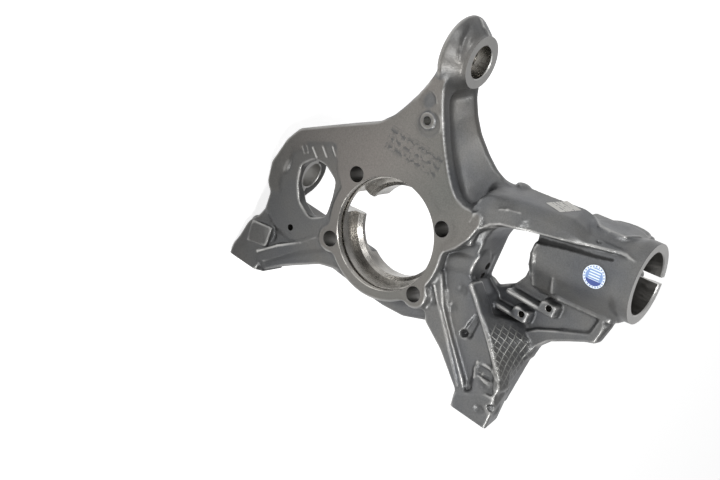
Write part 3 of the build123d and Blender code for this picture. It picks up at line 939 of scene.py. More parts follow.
@dataclass(frozen=True)
class MilledFinish:
    """Freshly milled or bored aluminium with fine tool marks.

    Attributes:
        name: the material's name.
        colour: its lighter tone.
        roughness: its middle roughness.
        marks: the tool marks, in cells per metre.
        vary: how much darker its darker tone is.
        depth: how strongly the marks bend the light.
    """

    name: str = "milled_aluminium"
    colour: Triple = (0.52, 0.515, 0.50)
    roughness: float = 0.40
    marks: float = 2600.0
    vary: float = 0.14
    depth: float = 0.4

    def material(self) -> bpy.types.Material:
        """Builds the material; the marks are drawn out in planes square to Y."""
        n = Nodes(self.name)
        streak = n.add("ShaderNodeMapping", {"Vector": n.place(), "Scale": (0.12, 1.0, 0.12)}).outputs["Vector"]
        lines = n.noise(self.marks, 2, 0.5, streak)
        darker = tuple(c * (1 - self.vary) for c in self.colour)
        tint = n.ramp(n.noise(34, 3, 0.6), (0.3, darker), (0.7, self.colour))
        rough = n.ramp(lines, (0.3, self.roughness - 0.06), (0.7, self.roughness + 0.08))
        return n.surface(Base_Color=tint, Metallic=1.0, Roughness=rough, Normal=n.bump(lines, 0.00003, self.depth))


class Finish(Enum):
    """Material places on the casting."""

    CAST = 0
    MILLED = 1
    BORED = 2
    DRILLED = 3


# ---------------------------------------------------------------- small cast forms
@dataclass(frozen=True)
class ArmForms:
    """Recesses round the small boss and parting ridges of the arm and its eye.

    boss_recess is the recess's place in the plate, its depth and its radius.
    """

    boss_side: Egg = Egg((-112, 0.8, -11), (8.5, 2.6, 6.5), 2.0)
    boss_side_rim: Line = Line(((-119.0, 0.8, -12.5), (-117.5, 0.8, -7.5), (-113.5, 0.8, -3.5)), 0.9, -0.3, 0.8)
    boss_recess: tuple[Triple, float, float] = ((-95.4, 0, -3.2), 1.9, 9.6)
    boss_r: float = 6.9
    eye_ridge: Line = Line((
        (-179, 27, -17), (-177.9, 27.5, -11.6), (-175.6, 25.4, -6), (-172.7, 26.8, -1.6), (-172, 24.2, 3.5),
    ), 1.3, 0.2, 0.8)
    eye_furrow: Line = Line((
        (-174.5, 12, -9), (-166.4, 4.5, -5), (-159.3, 1.6, -2.4), (-152.5, 1.8, -0.6),
    ), 1.8, 1.3, 2.5)

    def lay(self, f: Field) -> None:
        """Lays the forms on the skin, in their order."""
        f.dent(self.boss_side)
        f.bead(self.boss_side_rim)
        spot, depth, radius = self.boss_recess
        f.carve(pipe(Place.along(spot, Y_AXIS), -8, depth, radius), (-110, -4, -18), (-80, 8, 12), 2.5)
        f.add(pipe(SMALL_BOSS, 0, 15, self.boss_r), (-108, -3, -16), (-86, 12, 6), 0.6)
        f.bead(self.eye_ridge)
        f.furrow(self.eye_furrow)


@dataclass(frozen=True)
class FinForms:
    """Edge beads of the arch and fin, the deep gap behind the fin and the clamp pad's outline."""

    inner_edge: Line = Line((
        (-29.2, 4.6, 69), (-38.3, 4.6, 69.4), (-45.7, 3.6, 71.4), (-52.6, 4, 77.5), (-56.9, 4, 85.1),
        (-60, 4, 98.1), (-63.2, 9.3, 112.4), (-68.8, 12, 131.8), (-75.5, 15.5, 154.7), (-79, 18.1, 170.1),
    ), 1.2, -0.2, 0.8)
    outer_edge: Line = Line((
        (-46.4, 0.8, 63), (-53, 0.8, 63.7), (-57.1, 3, 65.4), (-61, 4.5, 70), (-64.3, 5.7, 75.4),
        (-68.5, 6.5, 85), (-71.9, 6.9, 95.2),
    ), 1.3, -0.5, 1.2)
    gap_r: float = 2.7
    pad_edge: Line = Line((
        (-84.1, 53.1, 132.7), (-85.5, 39.3, 144.9), (-87.1, 36.9, 154.9), (-88.5, 39.4, 166.9),
        (-89.5, 54.8, 171.6),
    ), 1.2, 0.1, 0.8)
    face_dimple: Egg = Egg((-82, 26.1, 154.5), (2.0, 2.0, 2.4), 0.8)
    root_bump: Egg = Egg((-77.5, 47, 71), (2.4, 6.5, 6.5), 2.0)

    def lay(self, f: Field) -> None:
        """Lays the forms on the skin, in their order."""
        f.bead(self.inner_edge)
        f.bead(self.outer_edge)
        for i, (a, b) in enumerate(zip(GAP_LINE, GAP_LINE[1:])):
            f.carve(rod(a, b, self.gap_r - GAP_TAPER * i), np.minimum(a, b) - 5, np.maximum(a, b) + 5, 0.4)
        f.bead(self.pad_edge)
        f.dent(self.face_dimple)
        f.bump(self.root_bump)


@dataclass(frozen=True)
class TubeForms:
    """Rail along the foot of the clamp tube, its small gusset and the edge lines of the tube's lower end.

    gusset is a tapered rod: its two ends and its radius at each.
    """

    rail: Line = Line(((-16.5, 40, 122), (-19.5, 37, 141), (-21.5, 39, 158), (-24.0, 39.5, 184)), 2.4, -0.2, 1.2)
    gusset: tuple[Triple, Triple, float, float] = ((-36, 23.5, 134.5), (-23, 33.5, 134.5), 0.9, 2.6)
    end_edge: Line = Line((
        (-57, 17, 113.5), (-46, 17, 115), (-39.9, 18.6, 116.4), (-30, 25, 117), (-20, 33, 118),
    ), 1.2)
    window_edge: Line = Line(((-55, 18, 107), (-45, 17.5, 109), (-35, 21, 110), (-25, 30, 111)), 1.0)

    def lay(self, f: Field) -> None:
        """Lays the forms on the skin, in their order."""
        f.bead(self.rail)
        f.add(rod(*self.gusset), (-42, 16, 126), (-14, 42, 143), 1.0)
        f.bead(self.end_edge)
        f.bead(self.window_edge)


@dataclass(frozen=True)
class LegForms:
    """Dimples, pocket, double rim and pad lips of the upper leg and its foot."""

    dimple: Egg = Egg((8.2, 11, 75.8), (4.6, 1.7, 4.6), 0.8)
    shallow_dimple: Egg = Egg((24.0, 11, 75.6), (5.4, 1.0, 5.4), 0.6)
    dimple_rim: Line = Line(((19.6, 11, 71.5), (24, 11, 70.0), (28.5, 11, 72.5)), 0.8, -0.3)
    rim_furrow: Line = Line((
        (18, 5, 58.5), (24.1, 5, 63.5), (37.9, 5, 77), (52.1, 5, 90), (65, 5, 101.5), (74.2, 5, 109),
    ), 1.2, 0.5, 0.6)
    upper_rim: Line = Line((
        (-1.2, 5, 83.7), (9.1, 5, 94.8), (23.2, 5, 108.8), (34.2, 5, 120.2), (46.6, 5, 132.3), (50.5, 5, 139.2),
    ), 1.0, -0.1, 0.6)
    lower_rim: Line = Line((
        (14, 5, 53.7), (24.1, 5, 62.1), (38.8, 5, 75.4), (53.7, 5, 88.5), (66.5, 5, 100.3), (75, 5, 107.8),
    ), 1.0, 0.0, 0.5)
    pocket: Line = Line(((19.0, 11, 95.6), (29.5, 11, 93.9), (36.2, 11, 92.0)), 2.0, 0.4, 0.8)
    pocket_end: Egg = Egg((37.2, 11, 91.7), (3.0, 6.0, 3.0), 0.8)
    foot_arc: Line = Line((
        (61.5, 5, 113.5), (55.7, 5, 112.0), (51.0, 5, 112.7), (49.5, 5, 118.5), (50.4, 5, 127.0), (51.8, 5, 136.0),
    ), 1.6, -0.5, 1.8)
    foot_furrow: Line = Line(((60.5, 5, 120.5), (63, 5, 128.0), (64.0, 5, 136.0)), 1.8, 0.6, 1.5)
    foot_notch: Line = Line(((75.5, 9.8, 114.4), (71.0, 7.3, 117.4)), 1.6, 0.2, 1.0)
    foot_dimple: Egg = Egg((80.5, 3, 133.5), (4.2, 2.0, 5.0), 0.8)
    corner_dimple: Egg = Egg((73.8, 3.5, 143.5), (3.0, 3.2, 5.0), 0.6)

    def lay(self, f: Field) -> None:
        """Lays the forms on the skin, in their order."""
        f.dent(self.dimple)
        f.dent(self.shallow_dimple)
        f.bead(self.dimple_rim)
        f.furrow(self.rim_furrow)
        f.bead(self.upper_rim)
        f.bead(self.lower_rim)
        f.furrow(self.pocket)
        f.dent(self.pocket_end)
        f.bead(self.foot_arc)
        f.furrow(self.foot_furrow)
        f.furrow(self.foot_notch)
        f.dent(self.foot_dimple)
        f.dent(self.corner_dimple)


@dataclass(frozen=True)
class BoxForms:
    """Raised bars, hook, bump, foot block, furrows and screw ring on the lower box and its foot.

    The foot block's corners are given in X and Z, and its front and back in Y.
    """

    bars: tuple[Line, ...] = (
        Line(((-27.1, 3.4, -91.9), (-21.8, 3.4, -85)), 1.2, 0.0, 0.6),
        Line(((-32.5, 3.4, -83.7), (-26.5, 3.4, -76.5)), 1.2, 0.0, 0.6),
        Line(((-37.1, 3.4, -75.3), (-31.8, 3.4, -68.4)), 1.2, 0.0, 0.6),
    )
    hook: Line = Line((
        (-27.2, 3.4, -98.5), (-21, 3.4, -93.5), (-18.6, 3.4, -96.8), (-23.6, 3.4, -101),
    ), 0.9, 0.0, 0.6)
    end_bump: Egg = Egg((-2.5, 2.4, -108), (8.0, 2.2, 3.6), 1.5)
    foot_corners: tuple[tuple[float, float], ...] = ((54.6, -118.7), (50.8, -98.8), (68.4, -97.5), (72.8, -116.8))
    foot_front: float = 2.6
    foot_back: float = 12
    foot_furrow: Line = Line(((49.0, 8, -97.6), (58, 8, -96.0), (68, 7, -95.6)), 1.4, 0.3, 0.6)
    rib_furrow: Line = Line(((73, 8, -101.5), (60.5, 8, -89.3), (47, 8, -71.0), (34.5, 8, -56.5)), 1.5, 0.4, 0.6)
    rib_edge: Line = Line(((76, 5, -104), (62, 5, -88.6), (48.4, 5, -70.2), (36, 5, -56)), 1.3, -0.2, 0.8)
    ring_r: float = 4.6

    def foot_block(self) -> Shape:
        """The block on the foot: a facet on each side of its corners, facing away from their middle."""
        corners = np.array(self.foot_corners)
        middle = corners.mean(0)
        planes = [((0, self.foot_front, 0), (0, -1, 0)), ((0, self.foot_back, 0), Y_AXIS)]
        for corner, side in zip(corners, np.roll(corners, -1, 0) - corners):
            normal = np.array((-side[1], side[0]))
            if (middle - corner) @ normal >= 0:
                normal = -normal
            planes.append(((corner[0], 0, corner[1]), (normal[0], 0, normal[1])))
        return facets(planes)

    def lay(self, f: Field) -> None:
        """Lays the forms on the skin, in their order."""
        for bar in self.bars:
            f.bead(bar)
        f.bead(self.hook)
        f.bump(self.end_bump)
        f.add(self.foot_block(), (46, -2, -123), (78, 15, -92), 0.8)
        f.furrow(self.foot_furrow)
        f.furrow(self.rib_furrow)
        f.bead(self.rib_edge)
        f.add(pipe(LEG_HOLE, -3.4, 9, self.ring_r), (34, 0, -91), (50, 20, -75), 0.8)


# ---------------------------------------------------------------- the casting
Cut = tuple[str, tuple[Array, list], Finish]


@dataclass(frozen=True)
class Bores:
    """Radii and steps of the milled places, from which the cutters' profiles are made.

    Depths, ends and starts are counted from the face that the bore starts in. caliper_face_x is a place in
    X, and caliper_ends holds, for each caliper hole, the X of its inner end and the Z of its axis.
    notch_reach and the two notch angles are measured from the wheel axis. clear is how far a cutter stands
    out of the metal, and through how far it goes in to pass out at the far side.
    """

    pilot_r: float = 44.9
    pilot_depth: float = 5.1
    groove_r: float = 45.8
    groove_end: float = 6.5
    inner_r: float = 43.5
    inner_end: float = 20.5
    lip_r: float = 36.5
    lip_start: float = 23.5
    hub_hole_r: float = 6.4
    strut_r: float = 25.5
    strut_depth: float = 78
    strut_stop_r: float = 22.5
    eye_r: float = 13.5
    eye_depth: float = 15
    eye_hole_r: float = 10.5
    small_hole_r: float = 3.5
    joint_r: float = 10.5
    joint_length: float = 28
    pinch_hole_r: float = 6.5
    pinch_thread_r: float = 5.4
    sensor_r: float = 3.2
    sensor_screw_r: float = 2.4
    leg_hole_r: float = 2.6
    bracket_hole_r: float = 2.6
    caliper_hole_r: float = 6.5
    caliper_face_x: float = 91
    caliper_ends: tuple[tuple[float, float], ...] = ((52, -113.5), (55, 124.5))
    slit_half: float = 2.75
    slit_turn: float = math.radians(4)
    notch_reach: float = 70
    notch_half_angle: float = math.radians(13)
    notch_turn: float = math.radians(6)
    clear: float = 20
    through: float = 70

    def hub(self) -> list[Cut]:
        """The hub's stepped bore, its sensor notch and its four bolt holes."""
        bore = [
            (-4, 0), (-4, self.pilot_r + 4.5), (0.5, self.pilot_r), (self.pilot_depth, self.pilot_r),
            (self.pilot_depth, self.groove_r), (self.groove_end, self.groove_r), (self.groove_end, self.inner_r),
            (self.inner_end, self.inner_r), (self.inner_end, self.lip_r + 3), (self.lip_start, self.lip_r),
            (75, self.lip_r), (75, 0),
        ]
        half = self.notch_reach * math.sin(self.notch_half_angle)
        reach = self.notch_reach * math.cos(self.notch_half_angle)
        notch = Place.along((0, 0, 0), Y_AXIS, (math.cos(self.notch_turn), 0, -math.sin(self.notch_turn)))
        hole = [(-4, 0), (-4, self.hub_hole_r), (self.through, self.hub_hole_r), (self.through, 0)]
        return [
            ("hub_bore", turned(bore, HUB, 192), Finish.BORED),
            ("notch", prism([(0, 0), (half, reach), (-half, reach)], 9, 69, notch), Finish.MILLED),
            *((f"hub_hole_{i}", turned(hole, Place.along((x, 0, z), Y_AXIS), 64), Finish.DRILLED)
              for i, (x, z) in enumerate(HUB_HOLES)),
        ]

    def strut(self) -> list[Cut]:
        """The strut clamp's bore, end face, slit and pinch bolt holes."""
        down, r, clear = self.strut_depth, self.strut_r, self.clear
        bore = [(-92, 0), (-92, self.strut_stop_r), (-down, self.strut_stop_r), (-down, r), (clear, r), (clear, 0)]
        face = [(-0.9, 0), (-0.9, r), (0, r + 0.9), (0, 60), (clear, 60), (clear, 0)]
        aside = np.array(TUBE.x) * math.cos(self.slit_turn) - np.array(TUBE.y) * math.sin(self.slit_turn)
        w = self.slit_half
        pinch = Place.along(TUBE.at(2.4, PINCH_OFFSET, PINCH_DOWN), TUBE.x)
        hole = [(0.0, 0), (0.0, self.pinch_hole_r), (60, self.pinch_hole_r), (60, 0)]
        thread = [(-22.4, 0), (-22.4, self.pinch_thread_r), (1, self.pinch_thread_r), (1, 0)]
        slit = prism([(-w, 20), (w, 20), (w, 80), (-w, 80)], -89, 12, Place.along(TUBE.origin, TUBE.z, aside))
        return [
            ("strut_bore", turned(bore, TUBE, 160), Finish.DRILLED),
            ("strut_face", turned(face, TUBE, 160), Finish.MILLED),
            ("slit", slit, Finish.MILLED),
            ("pinch_hole", turned(hole, pinch, 64), Finish.MILLED),
            ("pinch_thread", turned(thread, pinch, 64), Finish.DRILLED),
        ]

    def arm(self) -> list[Cut]:
        """The steering eye's bore and face, and the small boss's face and hole."""
        r, clear = self.eye_r, self.clear
        bore = [(-60, 0), (-60, self.eye_hole_r), (-self.eye_depth, self.eye_hole_r), (-self.eye_depth, r),
                (clear, r), (clear, 0)]
        face = [(-0.8, 0), (-0.8, r), (0, r + 0.8), (0, 43), (clear, 43), (clear, 0)]
        boss = [(-6, 0), (-6, 7.6), (0, 7.6), (0, self.small_hole_r), (13, self.small_hole_r), (14.5, 0)]
        return [
            ("eye_bore", turned(bore, EYE), Finish.BORED),
            ("eye_face", turned(face, EYE), Finish.MILLED),
            ("small_boss", turned(boss, SMALL_BOSS, 64), Finish.MILLED),
        ]

    def small(self) -> list[Cut]:
        """The ball joint's bore and the sensor's, screw's, leg's and bracket's small holes."""
        r, end = self.joint_r, self.joint_length
        joint = [(-10, 0), (-10, r), (end - 0.8, r), (end, r + 0.8), (end, 17.5), (40, 17.5), (40, 0)]
        sensor = [(-20, 0), (-15, self.sensor_r), (0, self.sensor_r), (5, self.sensor_r), (5, 0)]
        screw = [(-13, 0), (-11, self.sensor_screw_r), (5, self.sensor_screw_r), (5, 0)]
        leg = [(-12, 0), (-12, self.leg_hole_r), (7.5, self.leg_hole_r), (8.5, 0)]
        r = self.bracket_hole_r
        bracket = [(-4, 0), (-4, r + 0.5), (0.1, r + 0.5), (0.5, r), (13, r), (14, 0)]
        return [
            ("ball_joint", turned(joint, Place.along((3, 26, -124), Z_AXIS), 96), Finish.MILLED),
            ("sensor_hole", turned(sensor, Place.along((-11.5, 32.5, 77), Z_AXIS), 48), Finish.DRILLED),
            ("sensor_screw", turned(screw, Place.along((-3.5, 31, 77), Z_AXIS), 48), Finish.DRILLED),
            ("leg_hole", turned(leg, LEG_HOLE, 48), Finish.DRILLED),
            *((f"bracket_hole_{i}", turned(bracket, Place.along((x, 31.1, z), Y_AXIS), 48), Finish.DRILLED)
              for i, (x, z) in enumerate(BRACKET_HOLES)),
        ]

    def caliper(self) -> list[Cut]:
        """The caliper's two holes, each with the milled face round its mouth."""
        r, face = self.caliper_hole_r, self.caliper_face_x
        cuts = []
        for i, (end, z) in enumerate(self.caliper_ends):
            profile = [(end, 0), (end, r), (face - 0.8, r), (face, r + 0.8), (face, 60), (99, 60), (99, 0)]
            place = Place.along((0, CALIPER_Y, z), X_AXIS, Y_AXIS)
            cuts.append((f"caliper_hole_{i}", turned(profile, place, 96), Finish.MILLED))
        return cuts


@dataclass
class Casting:
    """The one-piece knuckle casting.

    Attributes:
        pitch: the step of the distance field.
        band: the distance from the skin that the field holds.
        margin: the room round the solid.
        inner: the radius of inner corners.
        outer: the radius of outer corners.
        filled: regions whose inner corners have a larger radius.
        crisp: regions whose inner corners stay as they are.
        blended: the fin's root, which is blurred by its radius.
        worn: the arm, whose outer corners have a larger radius.
        joined: the joint of arm and fin, which is blurred by its radius.
        blur: the last blur of the whole skin.
        faces: how many triangles the skin is thinned to.
        bores: the sizes of the milled places.
        finishes: the material of each finish.
    """

    pitch: float = 0.8
    band: float = 11.0
    margin: float = 9.0
    inner: float = 2.2
    outer: float = 0.9
    filled: tuple[Region, ...] = (
        Region((-60, -5, -66), (62, 50, 62), 10.0, 4.0),
        Region((-122, 3, -26), (-66, 60, 62), 12.0, 8.0),
        Region((34, 2, -118), (50, 12, -66), 6.0, 10.0),
    )
    crisp: tuple[Region, ...] = (
        Region((-100, -8, 80), (-41, 46, 204), 4.0),
        Region((-17, 23, 79), (25, 48, 150), 3.0),
        Region((-31, 8, 44), (12, 38, 82), 3.0),
        Region((-64, -6, 58), (-24, 10, 104), 3.0),
    )
    blended: Region = Region((-92, -6, 70), (-56, 24, 190), 6.0, 2.4)
    worn: Region = Region((-138, -6, -34), (-70, 30, 60), 8.0, 3.0)
    joined: Region = Region((-80, -8, 52), (-60, 16, 76), 4.0, 2.4)
    blur: float = 0.55
    faces: int = 176000
    bores: Bores = Bores()
    finishes: dict = field(default_factory=dict)

    def build(self) -> bpy.types.Object:
        """Makes the casting's skin, cuts it and dresses it.

        Returns:
            The finished object.
        """
        points, triangles = node_mesh("knuckle_casting")
        f = Field.of_mesh(points, triangles, self.pitch, self.margin, self.band)
        LOG.info("field of %s steps", f.values.shape)
        self.fill_machined(f)
        self.extend_feet(f)
        f = self.soften(f)
        for forms in (ArmForms(), FinForms()):
            forms.lay(f)
        self.rework(f, f, self.joined, lambda part: part.blurred(self.joined.radius))
        for forms in (TubeForms(), LegForms(), BoxForms()):
            forms.lay(f)
        f = f.blurred(self.blur)
        piece = self.skin(f)
        self.machine(piece)
        self.dress(piece, f)
        return piece

    def fill_machined(self, f: Field) -> None:
        """Fills the bores and lets the milled ends stand proud, so that the later cuts leave crisp edges.

        Args:
            f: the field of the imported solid.
        """
        tube_box = ((-110, 10, 100), (-15, 100, 204))
        eye_box = ((-185, -5, -35), (-120, 60, 20))
        pinch = Place.along(TUBE.at(0, PINCH_OFFSET, PINCH_DOWN), TUBE.x)
        # place, lower end, upper end, radius, and the corners of the box that the plug lies in
        plugs = [
            (HUB, 0.0, 24.0, 46.5, (-50, -3, -50), (50, 27, 50)),
            (TUBE, -self.bores.strut_depth, 4, 26.5, *tube_box),
            (TUBE, -6, 4, 32.72, *tube_box),
            (pinch, -21, 25.5, 7.4, *tube_box),
            (EYE, -26, 0, 14.0, *eye_box),
            (EYE, -10, 3, 21.4, *eye_box),
            (Place.along((3, 26, -110), Z_AXIS), -13.5, 14, 11.5, (-15, 8, -128), (20, 44, -90)),
            (SMALL_BOSS, -0.4, 15, 6.9, (-110, -3, -18), (-85, 20, 8)),
            (LEG_HOLE, 0.4, 9, 3.4, (36, 4, -89), (48, 18, -77)),
        ]
        for x, z in HUB_HOLES:
            plugs.append((Place.along((x, 0, z), Y_AXIS), 0.0, 22.0, 7.2, (x - 9, -3, z - 9), (x + 9, 25, z + 9)))
        for x, z in BRACKET_HOLES:
            plugs.append((Place.along((x, 31, z), Y_AXIS), 0.2, 16, 3.6, (x - 6, 28, z - 6), (x + 6, 49, z + 6)))
        for _, z in self.bores.caliper_ends:
            place = Place.along((0, CALIPER_Y, z), X_AXIS, Y_AXIS)
            plugs.append((place, 50, 90.5, 7.4, (48, 8, z - 10), (94, 28, z + 10)))
        for place, low, high, radius, *box in plugs:
            f.add(pipe(place, low, high, radius), *box)
        sensor_pad = block(Place.along((-7.5, 32, 69), Z_AXIS), (9, 5, 7.9), 0.5)
        f.add(sensor_pad, (-20, 24, 58), (4, 40, 79))

    def extend_feet(self, f: Field, mirror_x: float = 89.8, end_x: float = 93.0) -> None:
        """Runs the caliper feet on past their milled faces, so that the cut leaves a flat face.

        Args:
            f: the field.
            mirror_x: the plane behind which the feet are mirrored.
            end_x: the plane where they end.
        """
        turn = int(round((mirror_x - f.low[0]) / f.pitch))
        count = f.values.shape[0] - turn - 1
        f.values[turn + 1:] = f.values[turn - count:turn][::-1]
        beyond = f.axes()[0] - end_x
        np.maximum(f.values, beyond.astype(np.float32), out=f.values, where=beyond > 0)

    def soften(self, f: Field) -> Field:
        """Fills inner corners and wears outer ones, each by the radius its region of the casting has.

        Args:
            f: the field of the filled solid.

        Returns:
            A softened field.
        """
        made = f.closed(self.inner)
        for region in self.filled:
            self.rework(made, f, region, lambda part: part.closed(region.radius))
        for region in self.crisp:
            self.rework(made, f, region, lambda part: part)
        self.rework(made, made, self.blended, lambda part: part.blurred(self.blended.radius))
        soft = made.opened(self.outer)
        self.rework(soft, made, self.worn, lambda part: part.opened(self.worn.radius))
        return soft

    def rework(self, f: Field, source: Field, region: Region, work: Callable[[Field], Field]) -> None:
        """Mixes a reworked copy of one region of a field into another field.

        Args:
            f: the field that is changed.
            source: the field that the copy is taken from.
            region: where the copy counts fully, and the distance over which its share falls to nothing.
            work: turns the copied block into the reworked one.
        """
        room = region.fade + 12.0
        part, w = source.part(np.asarray(region.low) - room, np.asarray(region.high) + room)
        share = part.share(region)
        f.values[w] += (work(part).values - f.values[w]) * share

    def skin(self, f: Field) -> bpy.types.Object:
        """Turns the field into one mesh and thins it to its share of faces."""
        points, quads = f.skin()
        points = points * f.pitch + f.low
        a, b, c = (points[quads[:, i]] for i in range(3))
        if np.einsum("ij,ij->i", a, np.cross(b, c)).sum() < 0:
            quads = quads[:, ::-1]
        piece = new_piece("knuckle_body", points, quads)
        thin = piece.modifiers.new("thin", "DECIMATE")
        thin.ratio = min(1.0, self.faces / (2 * len(quads)))
        applied(piece)
        LOG.info("skin of %d faces, thinned to %d", len(quads), len(piece.data.polygons))
        return piece

    def cutters(self) -> list[Cut]:
        """The milled and bored places as closed solids with the finish each leaves, in their cutting order."""
        b = self.bores
        made = {cut[0]: cut for cut in (*b.hub(), *b.strut(), *b.arm(), *b.small(), *b.caliper())}
        order = ("hub_bore", "strut_bore", "strut_face", "eye_bore", "eye_face", "small_boss", "ball_joint", "slit",
                 "pinch_hole", "pinch_thread", "sensor_hole", "sensor_screw", "leg_hole", "notch")
        return [made.pop(name) for name in order] + list(made.values())

    def machine(self, piece: bpy.types.Object) -> None:
        """Cuts every milled place out of the skin; a cut face keeps its cutter's finish."""
        for finish in Finish:
            piece.data.materials.append(self.finishes[finish])
        for name, (points, faces), finish in self.cutters():
            cutter = recalculated(new_piece("cut_" + name, points, faces))
            cutter.data.materials.append(self.finishes[finish])
            cut = piece.modifiers.new(name, "BOOLEAN")
            cut.operation, cut.solver, cut.material_mode = "DIFFERENCE", "MANIFOLD", "TRANSFER"
            cut.object = cutter
            before = len(piece.data.polygons)
            applied(piece)
            bpy.data.objects.remove(cutter)
            LOG.info("cut %s: %d faces, was %d", name, len(piece.data.polygons), before)

    def dress(self, piece: bpy.types.Object, f: Field) -> None:
        """Gives the skin the five shares that its finish reads, and its shading edges.

        ridge follows the blurred field less the field itself at each vertex: it is above zero on edges, where the
        finish paints a highlight, and below zero in concave places, where it paints shade. deep is 1 where a wide blur
        leaves the skin well inside the body, as in the bottom of a pocket, and the finish paints shade there. front is
        1 where the skin faces forward in the front plate's plane. net is 1 on the side of the upper leg that has the
        raised net. gap is 1 in the deep gap behind the fin, which the finish paints near black as its shadow.

        Args:
            piece: the cut skin.
            f: the field that it was made from.
        """
        mesh = piece.data
        points, facing = (self.read(mesh, name) for name in ("co", "normal"))
        points = points / MM
        bend = f.blurred(1.2).sample(points) - f.sample(points)
        coarse = Field(2 * f.pitch, f.low, f.values[::2, ::2, ::2].copy(), f.band)
        sunk = -(coarse.blurred(5.0).sample(points))
        leg_side = facing @ unit((-0.55, -0.40, 0.73))
        from_net = np.linalg.norm(points - (38, 18, 126), axis=1)
        gap = np.zeros(len(points))
        for i, (a, b) in enumerate(zip(GAP_LINE, GAP_LINE[1:])):
            gap = np.maximum(gap, 1 - ease((rod(a, b, 2.9 - GAP_TAPER * i)(*points.T) + 0.3) / 0.6))
        shares = {
            "ridge": np.clip((bend - 0.16) / 0.20, 0, 1) - np.clip((-bend - 0.06) / 0.35, 0, 1),
            "front": ease((-facing[:, 1] - 0.80) / 0.15) * (1 - ease((points[:, 1] - 1.8) / 1.2)),
            "deep": np.clip((sunk - 0.8) / 2.2, 0, 1),
            "net": ease((leg_side - 0.45) / 0.2) * (1 - ease((from_net - 20) / 7.0)),
            "gap": gap,
        }
        for name, values in shares.items():
            attribute = mesh.attributes.new(name, "FLOAT", "POINT")
            attribute.data.foreach_set("value", values.astype(np.float32))
        mesh.polygons.foreach_set("use_smooth", np.ones(len(mesh.polygons), bool))
        mesh.set_sharp_from_angle(angle=math.radians(32))

    def read(self, mesh: bpy.types.Mesh, name: str) -> Array:
        """A triple that a mesh holds at each vertex, as rows."""
        values = np.empty(len(mesh.vertices) * 3)
        mesh.vertices.foreach_get(name, values)
        return values.reshape(-1, 3)


# ---------------------------------------------------------------- stickers
@dataclass(frozen=True)
class RoundSticker:
    """Round sticker on the clamp tube: marked pale border, blue field with bars and a navy lower segment.

    Attributes:
        pale, border, blue, navy: its colours.
        inner: the radius of the blue field.
        border_middle, border_half: the radius of the border's marks, and half their length.
        marks: how many marks the border has.
        bar_step, bar_half: the distance from bar to bar, and half a bar's length.
        segment: how far below the middle the navy segment starts.
    """

    pale: Triple = (0.62, 0.68, 0.76)
    border: Triple = (0.10, 0.16, 0.34)
    blue: Triple = (0.17, 0.26, 0.46)
    navy: Triple = (0.035, 0.06, 0.22)
    inner: float = 7.2
    border_middle: float = 8.1
    border_half: float = 0.5
    marks: float = 22.0
    bar_step: float = 2.1
    bar_half: float = 4.6
    segment: float = 2.6

    def material(self) -> bpy.types.Material:
        """Builds the material; places on it are measured from the middle of the sticker."""
        n = Nodes("round_sticker_print")
        middle = middle_of("round_label")
        u, v = n.along(TUBE.z, middle), n.along(TUBE.x, middle)
        r = n.math("SQRT", n.math("ADD", n.times(u, u), n.times(v, v)))
        mark = n.stripes(n.math("ARCTAN2", v, u), self.marks, 0.1)
        mark = n.times(mark, n.within(n.math("SUBTRACT", r, self.border_middle), self.border_half))
        tint = n.blend(mark, self.pale, self.border)
        bars = n.times(n.stripes(v, 2 * math.pi / self.bar_step, 0.2), n.within(u, self.bar_half))
        core = n.blend(bars, self.blue, self.pale)
        core = n.blend(n.math("GREATER_THAN", v, self.segment), core, self.navy)
        tint = n.blend(n.math("LESS_THAN", r, self.inner), tint, core)
        return n.surface(Base_Color=tint, Roughness=0.32, Coat_Weight=0.3)


@dataclass(frozen=True)
class PlainSticker:
    """Pale rectangular sticker on the fin, with faint broken grey lines.

    Attributes:
        paper, ink: its colours.
        step: the distance from line to line.
        turn: how far it is turned on the fin's face.
        half: half the size of the printed field.
    """

    paper: Triple = (0.52, 0.51, 0.48)
    ink: Triple = (0.16, 0.16, 0.16)
    step: float = 3.1
    turn: float = math.radians(30)
    half: tuple[float, float] = (9.0, 6.5)

    def material(self) -> bpy.types.Material:
        """Builds the material; the lines run along the sticker's long side."""
        n = Nodes("plain_sticker_print")
        middle = middle_of("rectangular_label")
        v_axis = unit(np.array(FIN.y) * math.cos(self.turn) + np.array(FIN.z) * math.sin(self.turn))
        u_axis = unit(np.cross(unit(-np.array(FIN.x)), v_axis))
        v, u = n.along(v_axis, middle), n.along(u_axis, middle)
        inside = n.times(n.within(u, self.half[0]), n.within(v, self.half[1]))
        broken = n.math("GREATER_THAN", n.noise(420, 1, 0.5), 0.50)
        line = n.times(n.times(n.stripes(v, 2 * math.pi / self.step, 0.35), broken), inside)
        return n.surface(Base_Color=n.blend(line, self.paper, self.ink), Roughness=0.45)


def middle_of(node: str) -> Array:
    """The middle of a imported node's box."""
    low, high = (np.array(v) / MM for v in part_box(node))
    return (low + high) / 2


# ---------------------------------------------------------------- studio
@dataclass(frozen=True)
class Lamp:
    """A square soft lamp: its name, its place in metres, its side in metres and its power in watts."""

    name: str
    spot: Triple
    size: float
    power: float
    aim: Triple = (-0.03, 0.05, 0.03)

    def build(self) -> None:
        """Makes the lamp, aimed at the middle of the object."""
        data = bpy.data.lights.new(self.name, "AREA")
        data.shape, data.size, data.energy = "SQUARE", self.size, self.power
        lamp = bpy.data.objects.new(self.name, data)
        bpy.context.scene.collection.objects.link(lamp)
        lamp.location = self.spot
        lamp.rotation_mode = "QUATERNION"
        lamp.rotation_quaternion = (Vector(self.aim) - Vector(self.spot)).to_track_quat("-Z", "Y")


